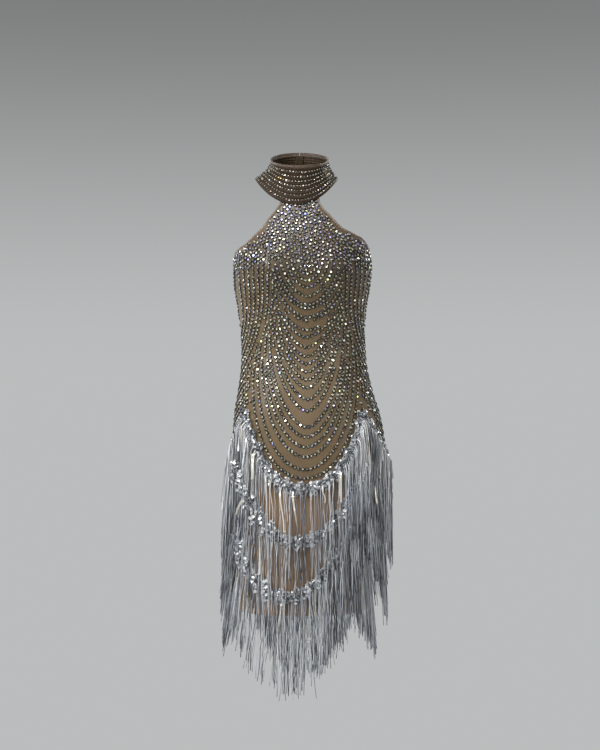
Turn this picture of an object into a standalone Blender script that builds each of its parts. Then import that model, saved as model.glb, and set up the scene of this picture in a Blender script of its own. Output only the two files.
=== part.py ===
"""A halter-neck dance dress as worn, hollow, with a draped collar and three tiers of fringe.

Sizes are in millimetres until a mesh is made. +Z is up, the front faces -Y and the wearer's left is +X.
The origin is the middle of the neck inside the collar, where the wearer holds the dress up.
Angles run round the body in degrees: 0 at the front, 90 at the wearer's left, 180 at the back.
"""

import math
from collections import namedtuple

import bmesh
import bpy
from mathutils import Vector

MM = 0.001

# Driving sizes
WALL = 1.2  # thickness of the stretch cloth
GAP = 0.3  # between pieces at a seam
HEM_Z = -846.0  # lower edge of the skirt
SIDE_SEAM = 90.0  # angle of both side seams
SQUARENESS = 0.87  # 1 makes an oval section, less makes it fuller at the corners

# The worn body, one row for each level: the sides, and how far it comes forward and back
Section = namedtuple("Section", "z right left front back")
SECTIONS = (
    Section(z=-5, right=-120, left=130, front=-36, back=46),
    Section(z=-50, right=-126, left=136, front=-57, back=64),
    Section(z=-98, right=-127, left=137, front=-85, back=84),
    Section(z=-140, right=-124, left=135, front=-105, back=94),
    Section(z=-185, right=-126, left=138, front=-113, back=96),
    Section(z=-222, right=-124, left=134, front=-106, back=92),
    Section(z=-258, right=-118, left=128, front=-95, back=85),
    Section(z=-300, right=-113, left=125, front=-87, back=78),
    Section(z=-345, right=-110, left=126, front=-84, back=76),
    Section(z=-385, right=-112, left=131, front=-89, back=84),
    Section(z=-425, right=-118, left=141, front=-97, back=98),
    Section(z=-470, right=-125, left=155, front=-103, back=113),
    Section(z=-526, right=-128, left=164, front=-105, back=123),
    Section(z=-595, right=-126, left=160, front=-104, back=117),
    Section(z=-673, right=-121, left=147, front=-101, back=104),
    Section(z=-760, right=-117, left=130, front=-97, back=95),
    Section(z=HEM_Z, right=-114, left=119, front=-93, back=89),
)
HIP_Z = -526.0  # the widest level, which the fringe hangs from

# The two bust cups, shaped by darts
CUP_X = 68.0  # from the middle of the body to each cup's point
CUP_Z = -186.0
CUP_DEPTH = 14.0
CUP_WIDTH = 36.0
CUP_HEIGHT = 40.0

# Upper edges, bound, from side seam to side seam
Edge = namedtuple("Edge", "angle z")
RIGHT_ARMHOLE = (
    Edge(angle=-90, z=-153),
    Edge(angle=-73, z=-150),
    Edge(angle=-65, z=-145),
    Edge(angle=-55, z=-140),
    Edge(angle=-47, z=-131),
    Edge(angle=-39.5, z=-121),
    Edge(angle=-33.8, z=-112.5),
    Edge(angle=-30.3, z=-104.5),
    Edge(angle=-26.4, z=-93),
    Edge(angle=-23.2, z=-85),
    Edge(angle=-18.8, z=-73),
    Edge(angle=-16.2, z=-63),
    Edge(angle=-15.2, z=-55),
)
LEFT_ARMHOLE = (
    Edge(angle=11.5, z=-47),
    Edge(angle=12.6, z=-62),
    Edge(angle=15.5, z=-73),
    Edge(angle=19.6, z=-82),
    Edge(angle=23.3, z=-91),
    Edge(angle=28, z=-102),
    Edge(angle=33.3, z=-111),
    Edge(angle=41.3, z=-117),
    Edge(angle=49.3, z=-122.5),
    Edge(angle=58.3, z=-127),
    Edge(angle=65, z=-132.5),
    Edge(angle=75, z=-141),
    Edge(angle=90, z=-149),
)
BACK_EDGE = (
    Edge(angle=90, z=-149),
    Edge(angle=105, z=-157),
    Edge(angle=125, z=-171),
    Edge(angle=150, z=-185),
    Edge(angle=180, z=-191),
    Edge(angle=210, z=-186),
    Edge(angle=235, z=-173),
    Edge(angle=255, z=-160),
    Edge(angle=270, z=-153),
)
TUCKED_COLUMNS = 3  # between the armholes, where the front runs up under the collar

# Levels of the panels' rows below their shaped upper parts
UPPER_ROWS = 4
BUST_LEVELS = (-165, -182)
LEVELS = (
    -200, -226, -254, -284, -316, -350, -384, -418, -452, -486, -522, -562, -606, -656, -712, -776, HEM_Z,
)
BACK_COLUMNS = 18

# The collar: its upper and lower rings, tilted forward, with a concave flare between
COLLAR_TOP_X = 54.5
COLLAR_TOP_Y = 56.0
COLLAR_TOP_Z = 25.0
COLLAR_TOP_TILT = 20.0  # how far the top dips at the front and rises at the back
COLLAR_LOW_X = 80.0
COLLAR_LOW_Y = 66.0
COLLAR_LOW_Z = -9.0
COLLAR_LOW_DIP = 57.0  # further down at the front, a rounded point
COLLAR_LOW_RISE = 17.0  # further up at the back
COLLAR_LOW_SHIFT = -6.0  # the lower ring's middle lies to the wearer's right
COLLAR_FLARE = 1.65  # 1 makes a straight cone, more keeps it close to the neck for longer
COLLAR_FOLDS = 7
COLLAR_FOLD_DEPTH = 0.17  # of the spacing between folds
COLLAR_LIFT = 2.0  # of its lower edge from the body, over the front's tucked top
COLLAR_SLIT = 1.5  # opening at the centre back
COLLAR_COLUMNS = 40
COLLAR_SEATED = (50.0, 74.0)  # angles between which its lower edge leaves the chest
COLLAR_BINDING_WIDTH = 5.5

BINDING_WIDTH = 4.0
BINDING_THICKNESS = 1.6

# Each tier of fringe: the angles of its front scallop, its levels and how its strands hang
Tier = namedtuple(
    "Tier", "name right_peak middle left_peak peak low side_low lift flare_right flare_left strands"
)
TIERS = (
    Tier("fringe_tier_1", -53, -4.5, 43.5, -456, -603, -545, 13.8, 9, 2, 76),
    Tier("fringe_tier_2", -56, -6, 42, -557, -705, -645, 9.2, 18, 9, 72),
    Tier("fringe_tier_3", -68, -10, 35, -664, -810, -744, 4.6, 27, 12, 68),
)
BACK_PEAKS = (134.0, 226.0)
PEAK_ROUNDING = 3.5  # degrees of each peak that are rounded off
FRONT_FLARE = 5.0
STRAND_LENGTH = 181.0
STRAND_RADIUS = 1.7
STRAND_SIDES = 3
STRAND_DROPS = (0.075, 0.5, 1.0)  # shares of its length at which a strand has a ring
HEADER_INNER = WALL + 1.0  # lift of the header's underside from the body
HEADER_HEIGHT = 15.0
HEADER_THICKNESS = 3.2
PUFF_HEIGHT = 2.6  # the sequin header puffs up and is pinched in turn
PUFF_THICKNESS = 1.4
HEADER_STATIONS = 80
STEEPEST = 2.0  # most that a steep stretch of the header is heightened

HOOK_WIDTH = 9.0
HOOK_HEIGHT = 4.5
HOOK_THICKNESS = 1.0
HOOK_LEVELS = (0.3, 0.74)  # places down the collar's slit


def clear_scene():
    for thing in list(bpy.data.objects):
        bpy.data.objects.remove(thing, do_unlink=True)


def collection(name):
    made = bpy.data.collections.new(name)
    bpy.context.scene.collection.children.link(made)
    return made


def material(name, colour, roughness, metallic):
    made = bpy.data.materials.new(name)
    made.use_nodes = True
    shader = made.node_tree.nodes["Principled BSDF"]
    shader.inputs["Base Color"].default_value = (*colour, 1.0)
    shader.inputs["Roughness"].default_value = roughness
    shader.inputs["Metallic"].default_value = metallic
    return made


def smooth_through(places, values, at):
    """A smooth curve through the values at rising places, straight past both ends."""
    last = len(places) - 1

    def slope(i):
        low, high = max(i - 1, 0), min(i + 1, last)
        return (values[high] - values[low]) / (places[high] - places[low])

    if at <= places[0]:
        return values[0] + slope(0) * (at - places[0])
    if at >= places[last]:
        return values[last] + slope(last) * (at - places[last])
    i = max(k for k in range(last) if places[k] <= at)
    span = places[i + 1] - places[i]
    t = (at - places[i]) / span
    ease = t * t * (3 - 2 * t)
    start_pull = t * (1 - t) ** 2 * span * slope(i)
    end_pull = -t * t * (1 - t) * span * slope(i + 1)
    return values[i] * (1 - ease) + values[i + 1] * ease + start_pull + end_pull


def blend(low, high, at):
    """0 at or below low, 1 at or above high, and smooth between."""
    t = min(max((at - low) / (high - low), 0.0), 1.0)
    return t * t * (3 - 2 * t)


def level(z):
    """The section at a height: its middle and half-sizes."""
    rows = sorted(SECTIONS)
    heights = [row.z for row in rows]
    right, left, front, back = (
        smooth_through(heights, [getattr(row, side) for row in rows], z)
        for side in ("right", "left", "front", "back")
    )
    return (right + left) / 2, (left - right) / 2, (front + back) / 2, (back - front) / 2


def fuller(value):
    return math.copysign(abs(value) ** SQUARENESS, value)


def on_body(angle, z):
    """The point of the worn body at an angle and height."""
    middle_x, half_x, middle_y, half_y = level(z)
    turn = math.radians(angle)
    x = middle_x + half_x * fuller(math.sin(turn))
    y = middle_y - half_y * fuller(math.cos(turn))
    if math.cos(turn) > 0:
        for side in (-1, 1):
            across = (x - middle_x - side * CUP_X) / CUP_WIDTH
            up = (z - CUP_Z) / CUP_HEIGHT
            y -= CUP_DEPTH * math.exp(-across * across - up * up) * math.cos(turn) ** 0.5
    return Vector((x, y, z))


def lifted(angle, z, lift):
    """A point that distance out from the body."""
    step_angle, step_z = 0.5, 1.0
    across = on_body(angle + step_angle, z) - on_body(angle - step_angle, z)
    up = on_body(angle, z + step_z) - on_body(angle, z - step_z)
    return on_body(angle, z) + across.cross(up).normalized() * lift


def seam_angle():
    """Half of the side seam's gap, as an angle where the body is least deep."""
    least_depth = min(row.back - row.front for row in SECTIONS[2:]) / 2
    return math.degrees((GAP / 2 / least_depth) ** (1 / SQUARENESS))


def on_side_seam(angle):
    return angle in (-SIDE_SEAM, SIDE_SEAM, 360 - SIDE_SEAM)


def clear_of_seams(edge):
    """An edge whose ends stop short of the side seams."""
    middle = (edge[0].angle + edge[-1].angle) / 2
    return [
        Edge(row.angle + math.copysign(seam_angle(), middle - row.angle), row.z)
        if on_side_seam(row.angle)
        else row
        for row in edge
    ]


def moved_inward(edge, distance):
    """The rows of an upper edge moved that far down into the cloth, along the body."""
    moved = []
    for i, row in enumerate(edge):
        before, after = edge[max(i - 1, 0)], edge[min(i + 1, len(edge) - 1)]
        per_degree = (on_body(row.angle + 0.5, row.z) - on_body(row.angle - 0.5, row.z)).length
        run = (after.angle - before.angle) * per_degree
        rise = after.z - before.z
        length = math.hypot(run, rise)
        angle = row.angle
        if not on_side_seam(row.angle):
            angle += distance * rise / length / per_degree
        moved.append(Edge(angle, row.z - distance * run / length))
    return moved


def finer_back_edge():
    angles = [row.angle for row in BACK_EDGE]
    heights = [row.z for row in BACK_EDGE]
    finer = spaced(SIDE_SEAM, 360 - SIDE_SEAM, BACK_COLUMNS)
    return [Edge(angle, smooth_through(angles, heights, angle)) for angle in finer]


def spaced(start, end, count):
    return [start + (end - start) * i / count for i in range(count + 1)]


def object_from(name, mesh, finish, group):
    made = bpy.data.objects.new(name, mesh)
    made.data.materials.append(finish)
    group.objects.link(made)
    return made


def cloth_from_rows(name, rows, thickness, finish, group):
    """An open surface through rows of points, top row first, thickened outward."""
    shape = bmesh.new()
    points = [[shape.verts.new(point * MM) for point in row] for row in rows]
    for upper, lower in zip(points, points[1:]):
        for i in range(len(upper) - 1):
            shape.faces.new((upper[i], lower[i], lower[i + 1], upper[i + 1]))
    mesh = bpy.data.meshes.new(name)
    shape.to_mesh(mesh)
    shape.free()
    made = object_from(name, mesh, finish, group)
    mesh.shade_smooth()
    wall = made.modifiers.new("wall", "SOLIDIFY")
    wall.thickness = thickness * MM
    wall.offset = 1.0
    wall.use_even_offset = True
    return made


def panel(name, top, levels, finish, group):
    """The front or back: its columns fan out from its upper edge to be even at the first level."""
    evenly = spaced(top[0].angle, top[-1].angle, len(top) - 1)
    grid = []
    for row in range(UPPER_ROWS):
        share = row / UPPER_ROWS
        grid.append(
            [
                on_body(edge.angle + (base - edge.angle) * share, edge.z + (levels[0] - edge.z) * share)
                for edge, base in zip(top, evenly)
            ]
        )
    for z in levels:
        grid.append([on_body(angle, z) for angle in evenly])
    return cloth_from_rows(name, grid, WALL, finish, group)


def make_front(finish, group):
    right = clear_of_seams(moved_inward(RIGHT_ARMHOLE, BINDING_WIDTH + GAP))
    left = clear_of_seams(moved_inward(LEFT_ARMHOLE, BINDING_WIDTH + GAP))
    tucked = [
        Edge(angle, z)
        for angle, z in zip(
            spaced(right[-1].angle, left[0].angle, TUCKED_COLUMNS),
            spaced(right[-1].z, left[0].z, TUCKED_COLUMNS),
        )
    ]
    top = right + tucked[1:-1] + left
    return panel("front_panel", top, BUST_LEVELS + LEVELS, finish, group)


def make_back(finish, group):
    top = clear_of_seams(moved_inward(finer_back_edge(), BINDING_WIDTH + GAP))
    return panel("back_panel", top, LEVELS, finish, group)


def make_binding(name, edge, finish, group):
    """A bound edge: a narrow strip that carries the panel on past its upper edge."""
    upper = [on_body(*row) for row in clear_of_seams(edge)]
    lower = [on_body(*row) for row in clear_of_seams(moved_inward(edge, BINDING_WIDTH))]
    return cloth_from_rows(name, [upper, lower], BINDING_THICKNESS, finish, group)


def make_bindings(finish, group):
    make_binding("armhole_binding_right", RIGHT_ARMHOLE, finish, group)
    make_binding("armhole_binding_left", LEFT_ARMHOLE, finish, group)
    make_binding("back_binding", finer_back_edge(), finish, group)


def collar_ends(angle):
    """The collar's upper and lower points at an angle, without folds."""
    turn = math.radians(angle)
    sine, cosine = math.sin(turn), math.cos(turn)
    top = Vector((COLLAR_TOP_X * sine, -COLLAR_TOP_Y * cosine, COLLAR_TOP_Z - COLLAR_TOP_TILT * cosine))
    if cosine > 0:
        low_z = COLLAR_LOW_Z - COLLAR_LOW_DIP * cosine**COLLAR_FLARE
    else:
        low_z = COLLAR_LOW_Z + COLLAR_LOW_RISE * (-cosine) ** COLLAR_FLARE
    low = Vector((COLLAR_LOW_SHIFT + COLLAR_LOW_X * sine, -COLLAR_LOW_Y * fuller(cosine), low_z))
    seated = 1 - blend(*COLLAR_SEATED, abs((angle + 180) % 360 - 180))
    if seated:
        middle_x, half_x, _, _ = level(low.z)
        share = min(max((low.x - middle_x) / half_x, -1.0), 1.0)
        chest_turn = math.asin(math.copysign(abs(share) ** (1 / SQUARENESS), share))
        on_chest = lifted(math.degrees(chest_turn), low.z, COLLAR_LIFT)
        low = low.lerp(on_chest, seated)
    return top, low


def collar_point(angle, share, fold):
    """A point of the collar: share 0 at its top and 1 at its lower edge, fold 1 on a crest."""
    top, low = collar_ends(angle)
    down = low - top
    turn = math.radians(angle)
    out = Vector((math.sin(turn), -math.cos(turn), 0.35)).normalized()
    spread = share**COLLAR_FLARE
    path = Vector((down.x * spread, down.y * spread, down.z * share))
    return top + path + out * (COLLAR_FOLD_DEPTH * down.length / COLLAR_FOLDS * fold)


def collar_angles():
    slit = math.degrees(COLLAR_SLIT / 2 / COLLAR_TOP_Y)
    return spaced(-180 + slit, 180 - slit, COLLAR_COLUMNS)


def make_collar(finish, group):
    """Soft folds run round it, so its rows are crests and troughs in turn, from a crest down."""
    rows = 2 * COLLAR_FOLDS + 1
    grid = []
    for row in range(rows + 1):
        fold = 1 - row % 2
        grid.append([collar_point(angle, row / rows, fold) for angle in collar_angles()])
    return cloth_from_rows("collar", grid, WALL, finish, group)


def make_collar_binding(finish, group):
    """The plain bound edge that stands on the collar's top."""
    lower, upper = [], []
    for angle in collar_angles():
        crest = collar_point(angle, 0, 1)
        lower.append(crest + Vector((0, 0, GAP)))
        upper.append(crest + Vector((0, 0, GAP + COLLAR_BINDING_WIDTH)))
    return cloth_from_rows("collar_binding", [upper, lower], BINDING_THICKNESS, finish, group)


def make_hooks(finish, group):
    """Flat hook-and-eye plates that close the collar's slit at the back."""
    for number, share in enumerate(HOOK_LEVELS, 1):
        seat = collar_point(180, share, 1)
        top, low = collar_ends(180)
        bpy.ops.mesh.primitive_cube_add(size=1)
        hook = bpy.context.object
        hook.name = f"collar_hook_{number}"
        hook.data.name = hook.name
        hook.data.materials.append(finish)
        for holder in list(hook.users_collection):
            holder.objects.unlink(hook)
        group.objects.link(hook)
        for corner in hook.data.vertices:
            corner.co.x *= HOOK_WIDTH * MM
            corner.co.y *= HOOK_THICKNESS * MM
            corner.co.z *= HOOK_HEIGHT * MM
        lean = math.atan2(low.y - top.y, top.z - low.z)
        hook.rotation_euler.x = lean
        away = Vector((0, math.cos(lean), math.sin(lean)))
        hook.location = (seat + away * (WALL * 1.15 + HOOK_THICKNESS / 2 + GAP)) * MM
        corners = hook.modifiers.new("corners", "BEVEL")
        corners.width = 0.3 * MM
        corners.segments = 1


def header_height(tier, angle):
    """The height of a tier's header, which hangs in a scallop at the front, back and both sides."""
    right, left = tier.right_peak, tier.left_peak
    back_left, back_right = BACK_PEAKS
    scallops = (
        (right, tier.middle, left, tier.low),
        (left, (left + back_left) / 2, back_left, tier.side_low),
        (back_left, 180, back_right, tier.low),
        (back_right, (back_right + right + 360) / 2, right + 360, tier.side_low),
    )
    turn = (angle - right) % 360 + right
    for start, middle, end, low in scallops:
        if turn <= end:
            break
    share = (turn - middle) / (end - middle if turn > middle else middle - start)
    return low + (tier.peak - low) * share * share


def rounded_header_height(tier, angle):
    """The header's height with its peaks rounded off."""
    nearby = (-PEAK_ROUNDING, 0.0, PEAK_ROUNDING)
    return sum(header_height(tier, angle + step) for step in nearby) / len(nearby)


def header_steepness(tier, angle):
    """How much longer the header is than the stretch of body that it passes."""
    step = 2.0
    run = (on_body(angle + step, tier.peak) - on_body(angle - step, tier.peak)).length
    rise = rounded_header_height(tier, angle + step) - rounded_header_height(tier, angle - step)
    return min(math.hypot(run, rise) / run, STEEPEST)


def header_ring(tier, station):
    """The header's section at a station: flat on the cloth, puffed up or pinched outside."""
    angle = 360 * station / HEADER_STATIONS
    puff = station % 2
    z = rounded_header_height(tier, angle)
    half = (HEADER_HEIGHT / 2 + PUFF_HEIGHT * puff) * header_steepness(tier, angle)
    outer = HEADER_INNER + HEADER_THICKNESS + PUFF_THICKNESS * puff
    return (
        lifted(angle, z - half, HEADER_INNER),
        lifted(angle, z - half * 0.5, outer),
        lifted(angle, z + half * 0.5, outer),
        lifted(angle, z + half, HEADER_INNER),
        lifted(angle, z, HEADER_INNER),
    )


def closed_loft(rings):
    """A mesh through closed rings that themselves run round in a loop."""
    shape = bmesh.new()
    loops = [[shape.verts.new(point * MM) for point in ring] for ring in rings]
    for ring, following in zip(loops, loops[1:] + loops[:1]):
        for i in range(len(ring)):
            j = (i + 1) % len(ring)
            shape.faces.new((ring[i], ring[j], following[j], following[i]))
    bmesh.ops.recalc_face_normals(shape, faces=shape.faces)
    return shape


def even_angles(count, z):
    """Angles that divide the body's girth at a height into equal lengths."""
    fine = spaced(0, 360, 360)
    along = [0.0]
    for start, end in zip(fine, fine[1:]):
        along.append(along[-1] + (on_body(end, z) - on_body(start, z)).length)
    found = []
    for i in range(count):
        wanted = along[-1] * (i + 0.5) / count
        k = max(j for j in range(360) if along[j] <= wanted)
        found.append(fine[k] + (wanted - along[k]) / (along[k + 1] - along[k]))
    return found


def flare(tier, angle, share):
    """How far a strand has swung out from the plumb line at a share of its length."""
    sine = math.sin(math.radians(angle))
    side = tier.flare_left if sine > 0 else tier.flare_right
    return (FRONT_FLARE + (side - FRONT_FLARE) * sine * sine) * share**1.3


def strand_line(tier, angle, number):
    """The middle line of a strand: its root in the header, then out and straight down."""
    root_z = rounded_header_height(tier, angle) - HEADER_HEIGHT * 0.15
    uneven = 12 * math.sin(2.4 * number) + 6 * math.sin(5.1 * number + tier.lift)
    length = STRAND_LENGTH + uneven
    line = [lifted(angle, root_z, HEADER_INNER + HEADER_THICKNESS * 0.45)]
    for share in STRAND_DROPS:
        z = root_z - length * share
        hung_from = max(z, min(root_z, HIP_Z))
        point = lifted(angle, hung_from, tier.lift + flare(tier, angle, share))
        line.append(Vector((point.x, point.y, z)))
    return line


def add_strand(shape, line):
    """A thin prism with closed ends, its sections level."""
    rings = []
    for point in line:
        ring = []
        for side in range(STRAND_SIDES):
            turn = 2 * math.pi * side / STRAND_SIDES
            reach = Vector((math.cos(turn), math.sin(turn), 0)) * STRAND_RADIUS
            ring.append(shape.verts.new((point + reach) * MM))
        rings.append(ring)
    faces = [shape.faces.new(rings[0]), shape.faces.new(rings[-1])]
    for ring, following in zip(rings, rings[1:]):
        for i in range(STRAND_SIDES):
            j = (i + 1) % STRAND_SIDES
            faces.append(shape.faces.new((ring[i], ring[j], following[j], following[i])))
    bmesh.ops.recalc_face_normals(shape, faces=faces)


def make_tier(tier, finish, group, helpers):
    """A ring of sequin header with its strands fused into it."""
    shape = closed_loft([header_ring(tier, i) for i in range(HEADER_STATIONS)])
    mesh = bpy.data.meshes.new(tier.name)
    shape.to_mesh(mesh)
    shape.free()
    header = object_from(tier.name, mesh, finish, group)

    shape = bmesh.new()
    for number, angle in enumerate(even_angles(tier.strands, tier.side_low)):
        add_strand(shape, strand_line(tier, angle, number))
    mesh = bpy.data.meshes.new(tier.name + "_strands")
    shape.to_mesh(mesh)
    shape.free()
    strands = object_from(mesh.name, mesh, finish, helpers)
    strands.hide_render = True
    strands.display_type = "WIRE"

    fused = header.modifiers.new("strands", "BOOLEAN")
    fused.operation = "UNION"
    fused.object = strands
    return header


def main():
    clear_scene()
    dress = collection("halter_fringe_dress")
    helpers = collection("helpers")
    nude = material("nude_mesh", (0.33, 0.22, 0.14), 0.6, 0.0)
    brown = material("brown_mesh", (0.13, 0.085, 0.06), 0.6, 0.0)
    tan = material("tan_binding", (0.26, 0.19, 0.13), 0.5, 0.0)
    brown_edge = material("brown_binding", (0.13, 0.085, 0.06), 0.5, 0.0)
    silver = material("silver_fringe", (0.45, 0.47, 0.5), 0.35, 0.5)
    metal = material("hook_metal", (0.6, 0.6, 0.58), 0.3, 1.0)

    make_front(nude, dress)
    make_back(nude, dress)
    make_bindings(tan, dress)
    make_collar(brown, dress)
    make_collar_binding(brown_edge, dress)
    make_hooks(metal, dress)
    for tier in TIERS:
        make_tier(tier, silver, dress, helpers)


main()
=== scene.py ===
"""Looks of the halter-neck fringe dress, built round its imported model.

Sizes are in millimetres until a mesh is made. +Z is up, the front faces -Y and the wearer's left is +X.
Angles run round the body in degrees: 0 at the front, 90 at the wearer's left, 180 at the back.
"""

import math
from collections import namedtuple
from itertools import product

import bpy
import numpy as np
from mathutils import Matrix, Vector

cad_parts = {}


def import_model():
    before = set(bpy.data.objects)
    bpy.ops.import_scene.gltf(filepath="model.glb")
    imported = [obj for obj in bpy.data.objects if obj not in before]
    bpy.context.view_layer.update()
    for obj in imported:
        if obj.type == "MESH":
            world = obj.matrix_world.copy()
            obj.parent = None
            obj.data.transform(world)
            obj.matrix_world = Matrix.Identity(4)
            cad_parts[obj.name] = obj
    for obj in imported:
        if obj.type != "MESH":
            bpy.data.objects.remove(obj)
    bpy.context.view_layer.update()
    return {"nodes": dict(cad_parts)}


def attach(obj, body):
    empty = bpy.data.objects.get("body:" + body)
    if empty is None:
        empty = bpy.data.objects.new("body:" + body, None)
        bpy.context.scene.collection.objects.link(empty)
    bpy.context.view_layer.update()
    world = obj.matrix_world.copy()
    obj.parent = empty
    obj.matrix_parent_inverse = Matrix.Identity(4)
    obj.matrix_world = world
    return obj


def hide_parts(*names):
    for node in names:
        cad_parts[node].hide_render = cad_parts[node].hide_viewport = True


MM = 0.001

# The camera, which sees 1.95 mm in each pixel of a 600 by 750 picture at the middle of the body
CAMERA = (1.0, -3200.0, -390.0)
PIXEL = 1.95
PICTURE = (600, 750)
LENS = 78.77
FLOOR_Z = -1420.0
FLOOR_RADIUS = 1250.0

# The form of the body, as in the part's source
WALL = 1.2
GAP = 0.3
HEM_Z = -846.0
SQUARENESS = 0.87
SECTIONS = (
    (-5, -120, 130, -36, 46),
    (-50, -126, 136, -57, 64),
    (-98, -127, 137, -85, 84),
    (-140, -124, 135, -105, 94),
    (-185, -126, 138, -113, 96),
    (-222, -124, 134, -106, 92),
    (-258, -118, 128, -95, 85),
    (-300, -113, 125, -87, 78),
    (-345, -110, 126, -84, 76),
    (-385, -112, 131, -89, 84),
    (-425, -118, 141, -97, 98),
    (-470, -125, 155, -103, 113),
    (-526, -128, 164, -105, 123),
    (-595, -126, 160, -104, 117),
    (-673, -121, 147, -101, 104),
    (-760, -117, 130, -97, 95),
    (HEM_Z, -114, 119, -93, 89),
)
HIP_Z = -526.0
CUP_X, CUP_Z, CUP_DEPTH, CUP_WIDTH, CUP_HEIGHT = 68.0, -186.0, 14.0, 36.0, 40.0

RIGHT_ARMHOLE = (
    (-90, -153), (-73, -150), (-65, -145), (-55, -140), (-47, -131), (-39.5, -121), (-33.8, -112.5),
    (-30.3, -104.5), (-26.4, -93), (-23.2, -85), (-18.8, -73), (-16.2, -63), (-15.2, -55),
)
LEFT_ARMHOLE = (
    (11.5, -47), (12.6, -62), (15.5, -73), (19.6, -82), (23.3, -91), (28, -102), (33.3, -111),
    (41.3, -117), (49.3, -122.5), (58.3, -127), (65, -132.5), (75, -141), (90, -149),
)
BACK_EDGE = (
    (90, -149), (105, -157), (125, -171), (150, -185), (180, -191), (210, -186), (235, -173),
    (255, -160), (270, -153),
)
SIDE_SEAM = 90.0
BINDING_WIDTH = 4.0
BINDING_THICKNESS = 1.6

COLLAR_TOP = (54.5, 56.0, 25.0, 20.0)  # half width, half depth, height, tilt
COLLAR_LOW = (80.0, 66.0, -9.0, 57.0, 17.0, -6.0)  # half width, half depth, height, dip, rise, shift
COLLAR_FLARE = 1.65
COLLAR_FOLDS = 7
COLLAR_FOLD_DEPTH = 0.17
COLLAR_LIFT = 2.0
COLLAR_SLIT = 1.5
COLLAR_SEATED = (50.0, 74.0)
COLLAR_BINDING_WIDTH = 5.5

Tier = namedtuple(
    "Tier", "name right_peak middle left_peak peak low side_low lift flare_right flare_left"
)
TIERS = (
    Tier("fringe_tier_1", -53, -4.5, 43.5, -456, -603, -545, 13.8, 9, 2),
    Tier("fringe_tier_2", -56, -6, 42, -557, -705, -645, 9.2, 18, 9),
    Tier("fringe_tier_3", -68, -10, 35, -664, -810, -744, 4.6, 27, 12),
)
BACK_PEAKS = (134.0, 226.0)
PEAK_ROUNDING = 3.5
FRONT_FLARE = 5.0
STRAND_LENGTH = 181.0
HEADER_INNER = WALL + 1.0
HEADER_HEIGHT = 15.0
HEADER_THICKNESS = 3.2
STEEPEST = 2.0

# Surface detail
STONE = 7.9  # across a crystal in the rows
CHEST_STONE = 7.7
LOOSE_STONE = 6.9  # across a crystal set between the rows
STONE_PITCH = 7.8  # between crystals along a row
CHEST_PITCH = 8.0
COLLAR_PITCH = 6.1
ROWS_APART, LOOSE_APART, CHEST_APART = 6.7, 6.3, 5.9  # the least distances from crystal to crystal
STONE_INSET = 2.6  # from a bound edge to the middle of a crystal
STONE_LIFT = 1.2  # from the body to the back of a crystal
STONE_ABOVE_BAND = 11.0
HEM_TURNED = 20.0
STITCH_LIFT = 1.15  # from the body to the middle of a stitch
HEM_STITCH_LIFT = 1.3
EDGE_STITCH = {"length": 1.8, "gap": 1.0, "width": 0.4}
SEAM_STITCH = {"length": 1.6, "gap": 1.4, "width": 0.36}
SIDE_DEGREE = 2.1  # round the body in one degree at its sides
NET_PITCH = 0.0011  # between threads, in metres
# The skirt's multiplier is partly a pinker lining and partly painted light that lifts the shade cast by the
# fringe.
SKIRT_LINING_AND_PAINTED_LIGHT = (1.9, 1.85, 2.2)  # what the net's colours are multiplied by in the skirt
# The chest's multiplier is painted shade from the crystals.
CHEST_PAINTED_SHADE = (0.6, 0.6, 0.66)
RUFFLE_PITCH = 26  # between the puffs of a band
SEQUINS = 4400  # in each band
STRANDS = 980  # on each header, before it is thinned out
SEAMS = (-SIDE_SEAM, SIDE_SEAM, 360 - SIDE_SEAM)
COLLAR_END = 180 - math.degrees(COLLAR_SLIT / 2 / COLLAR_TOP[1])


# ---- Form ----

def smooth_through(places, values, at):
    """A smooth curve through values at places, straight beyond both ends, read at one place."""
    last = len(places) - 1

    def slope(i):
        low, high = max(i - 1, 0), min(i + 1, last)
        return (values[high] - values[low]) / (places[high] - places[low])

    for end, beyond in ((0, at <= places[0]), (last, at >= places[last])):
        if beyond:
            return values[end] + slope(end) * (at - places[end])
    i = max(k for k in range(last) if places[k] <= at)
    span = places[i + 1] - places[i]
    t = (at - places[i]) / span
    ease = t * t * (3 - 2 * t)
    eased = values[i] * (1 - ease) + values[i + 1] * ease
    return eased + t * (1 - t) ** 2 * span * slope(i) - t * t * (1 - t) * span * slope(i + 1)


def table_of_levels():
    """Middles and half sizes of the body, at heights one millimetre apart."""
    heights, *sides = zip(*sorted(SECTIONS))
    places = np.arange(-1060.0, 80.0, 1.0)
    right, left, front, back = (
        np.array([smooth_through(heights, side, z) for z in places]) for side in sides
    )
    return places, ((right + left) / 2, (left - right) / 2, (front + back) / 2, (back - front) / 2)


LEVEL_Z, LEVELS = table_of_levels()


def level(z):
    return [np.interp(z, LEVEL_Z, column) for column in LEVELS]


def fuller(value):
    return np.sign(value) * np.abs(value) ** SQUARENESS


def side_angle(share):
    """The angle at which the body reaches a share of its half width."""
    return np.degrees(np.arcsin(np.sign(share) * np.abs(share) ** (1 / SQUARENESS)))


def signed(angle):
    """Angles between -180 and 180."""
    return (np.asarray(angle) + 180) % 360 - 180


def unit(vectors):
    return vectors / np.linalg.norm(vectors, axis=-1, keepdims=True)


def level_out(angle, rise=0.0):
    """Directions away from the upright axis, with a rise."""
    turn = np.radians(angle)
    return np.stack([np.sin(turn), -np.cos(turn), np.full(np.shape(turn), rise)], -1)


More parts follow.
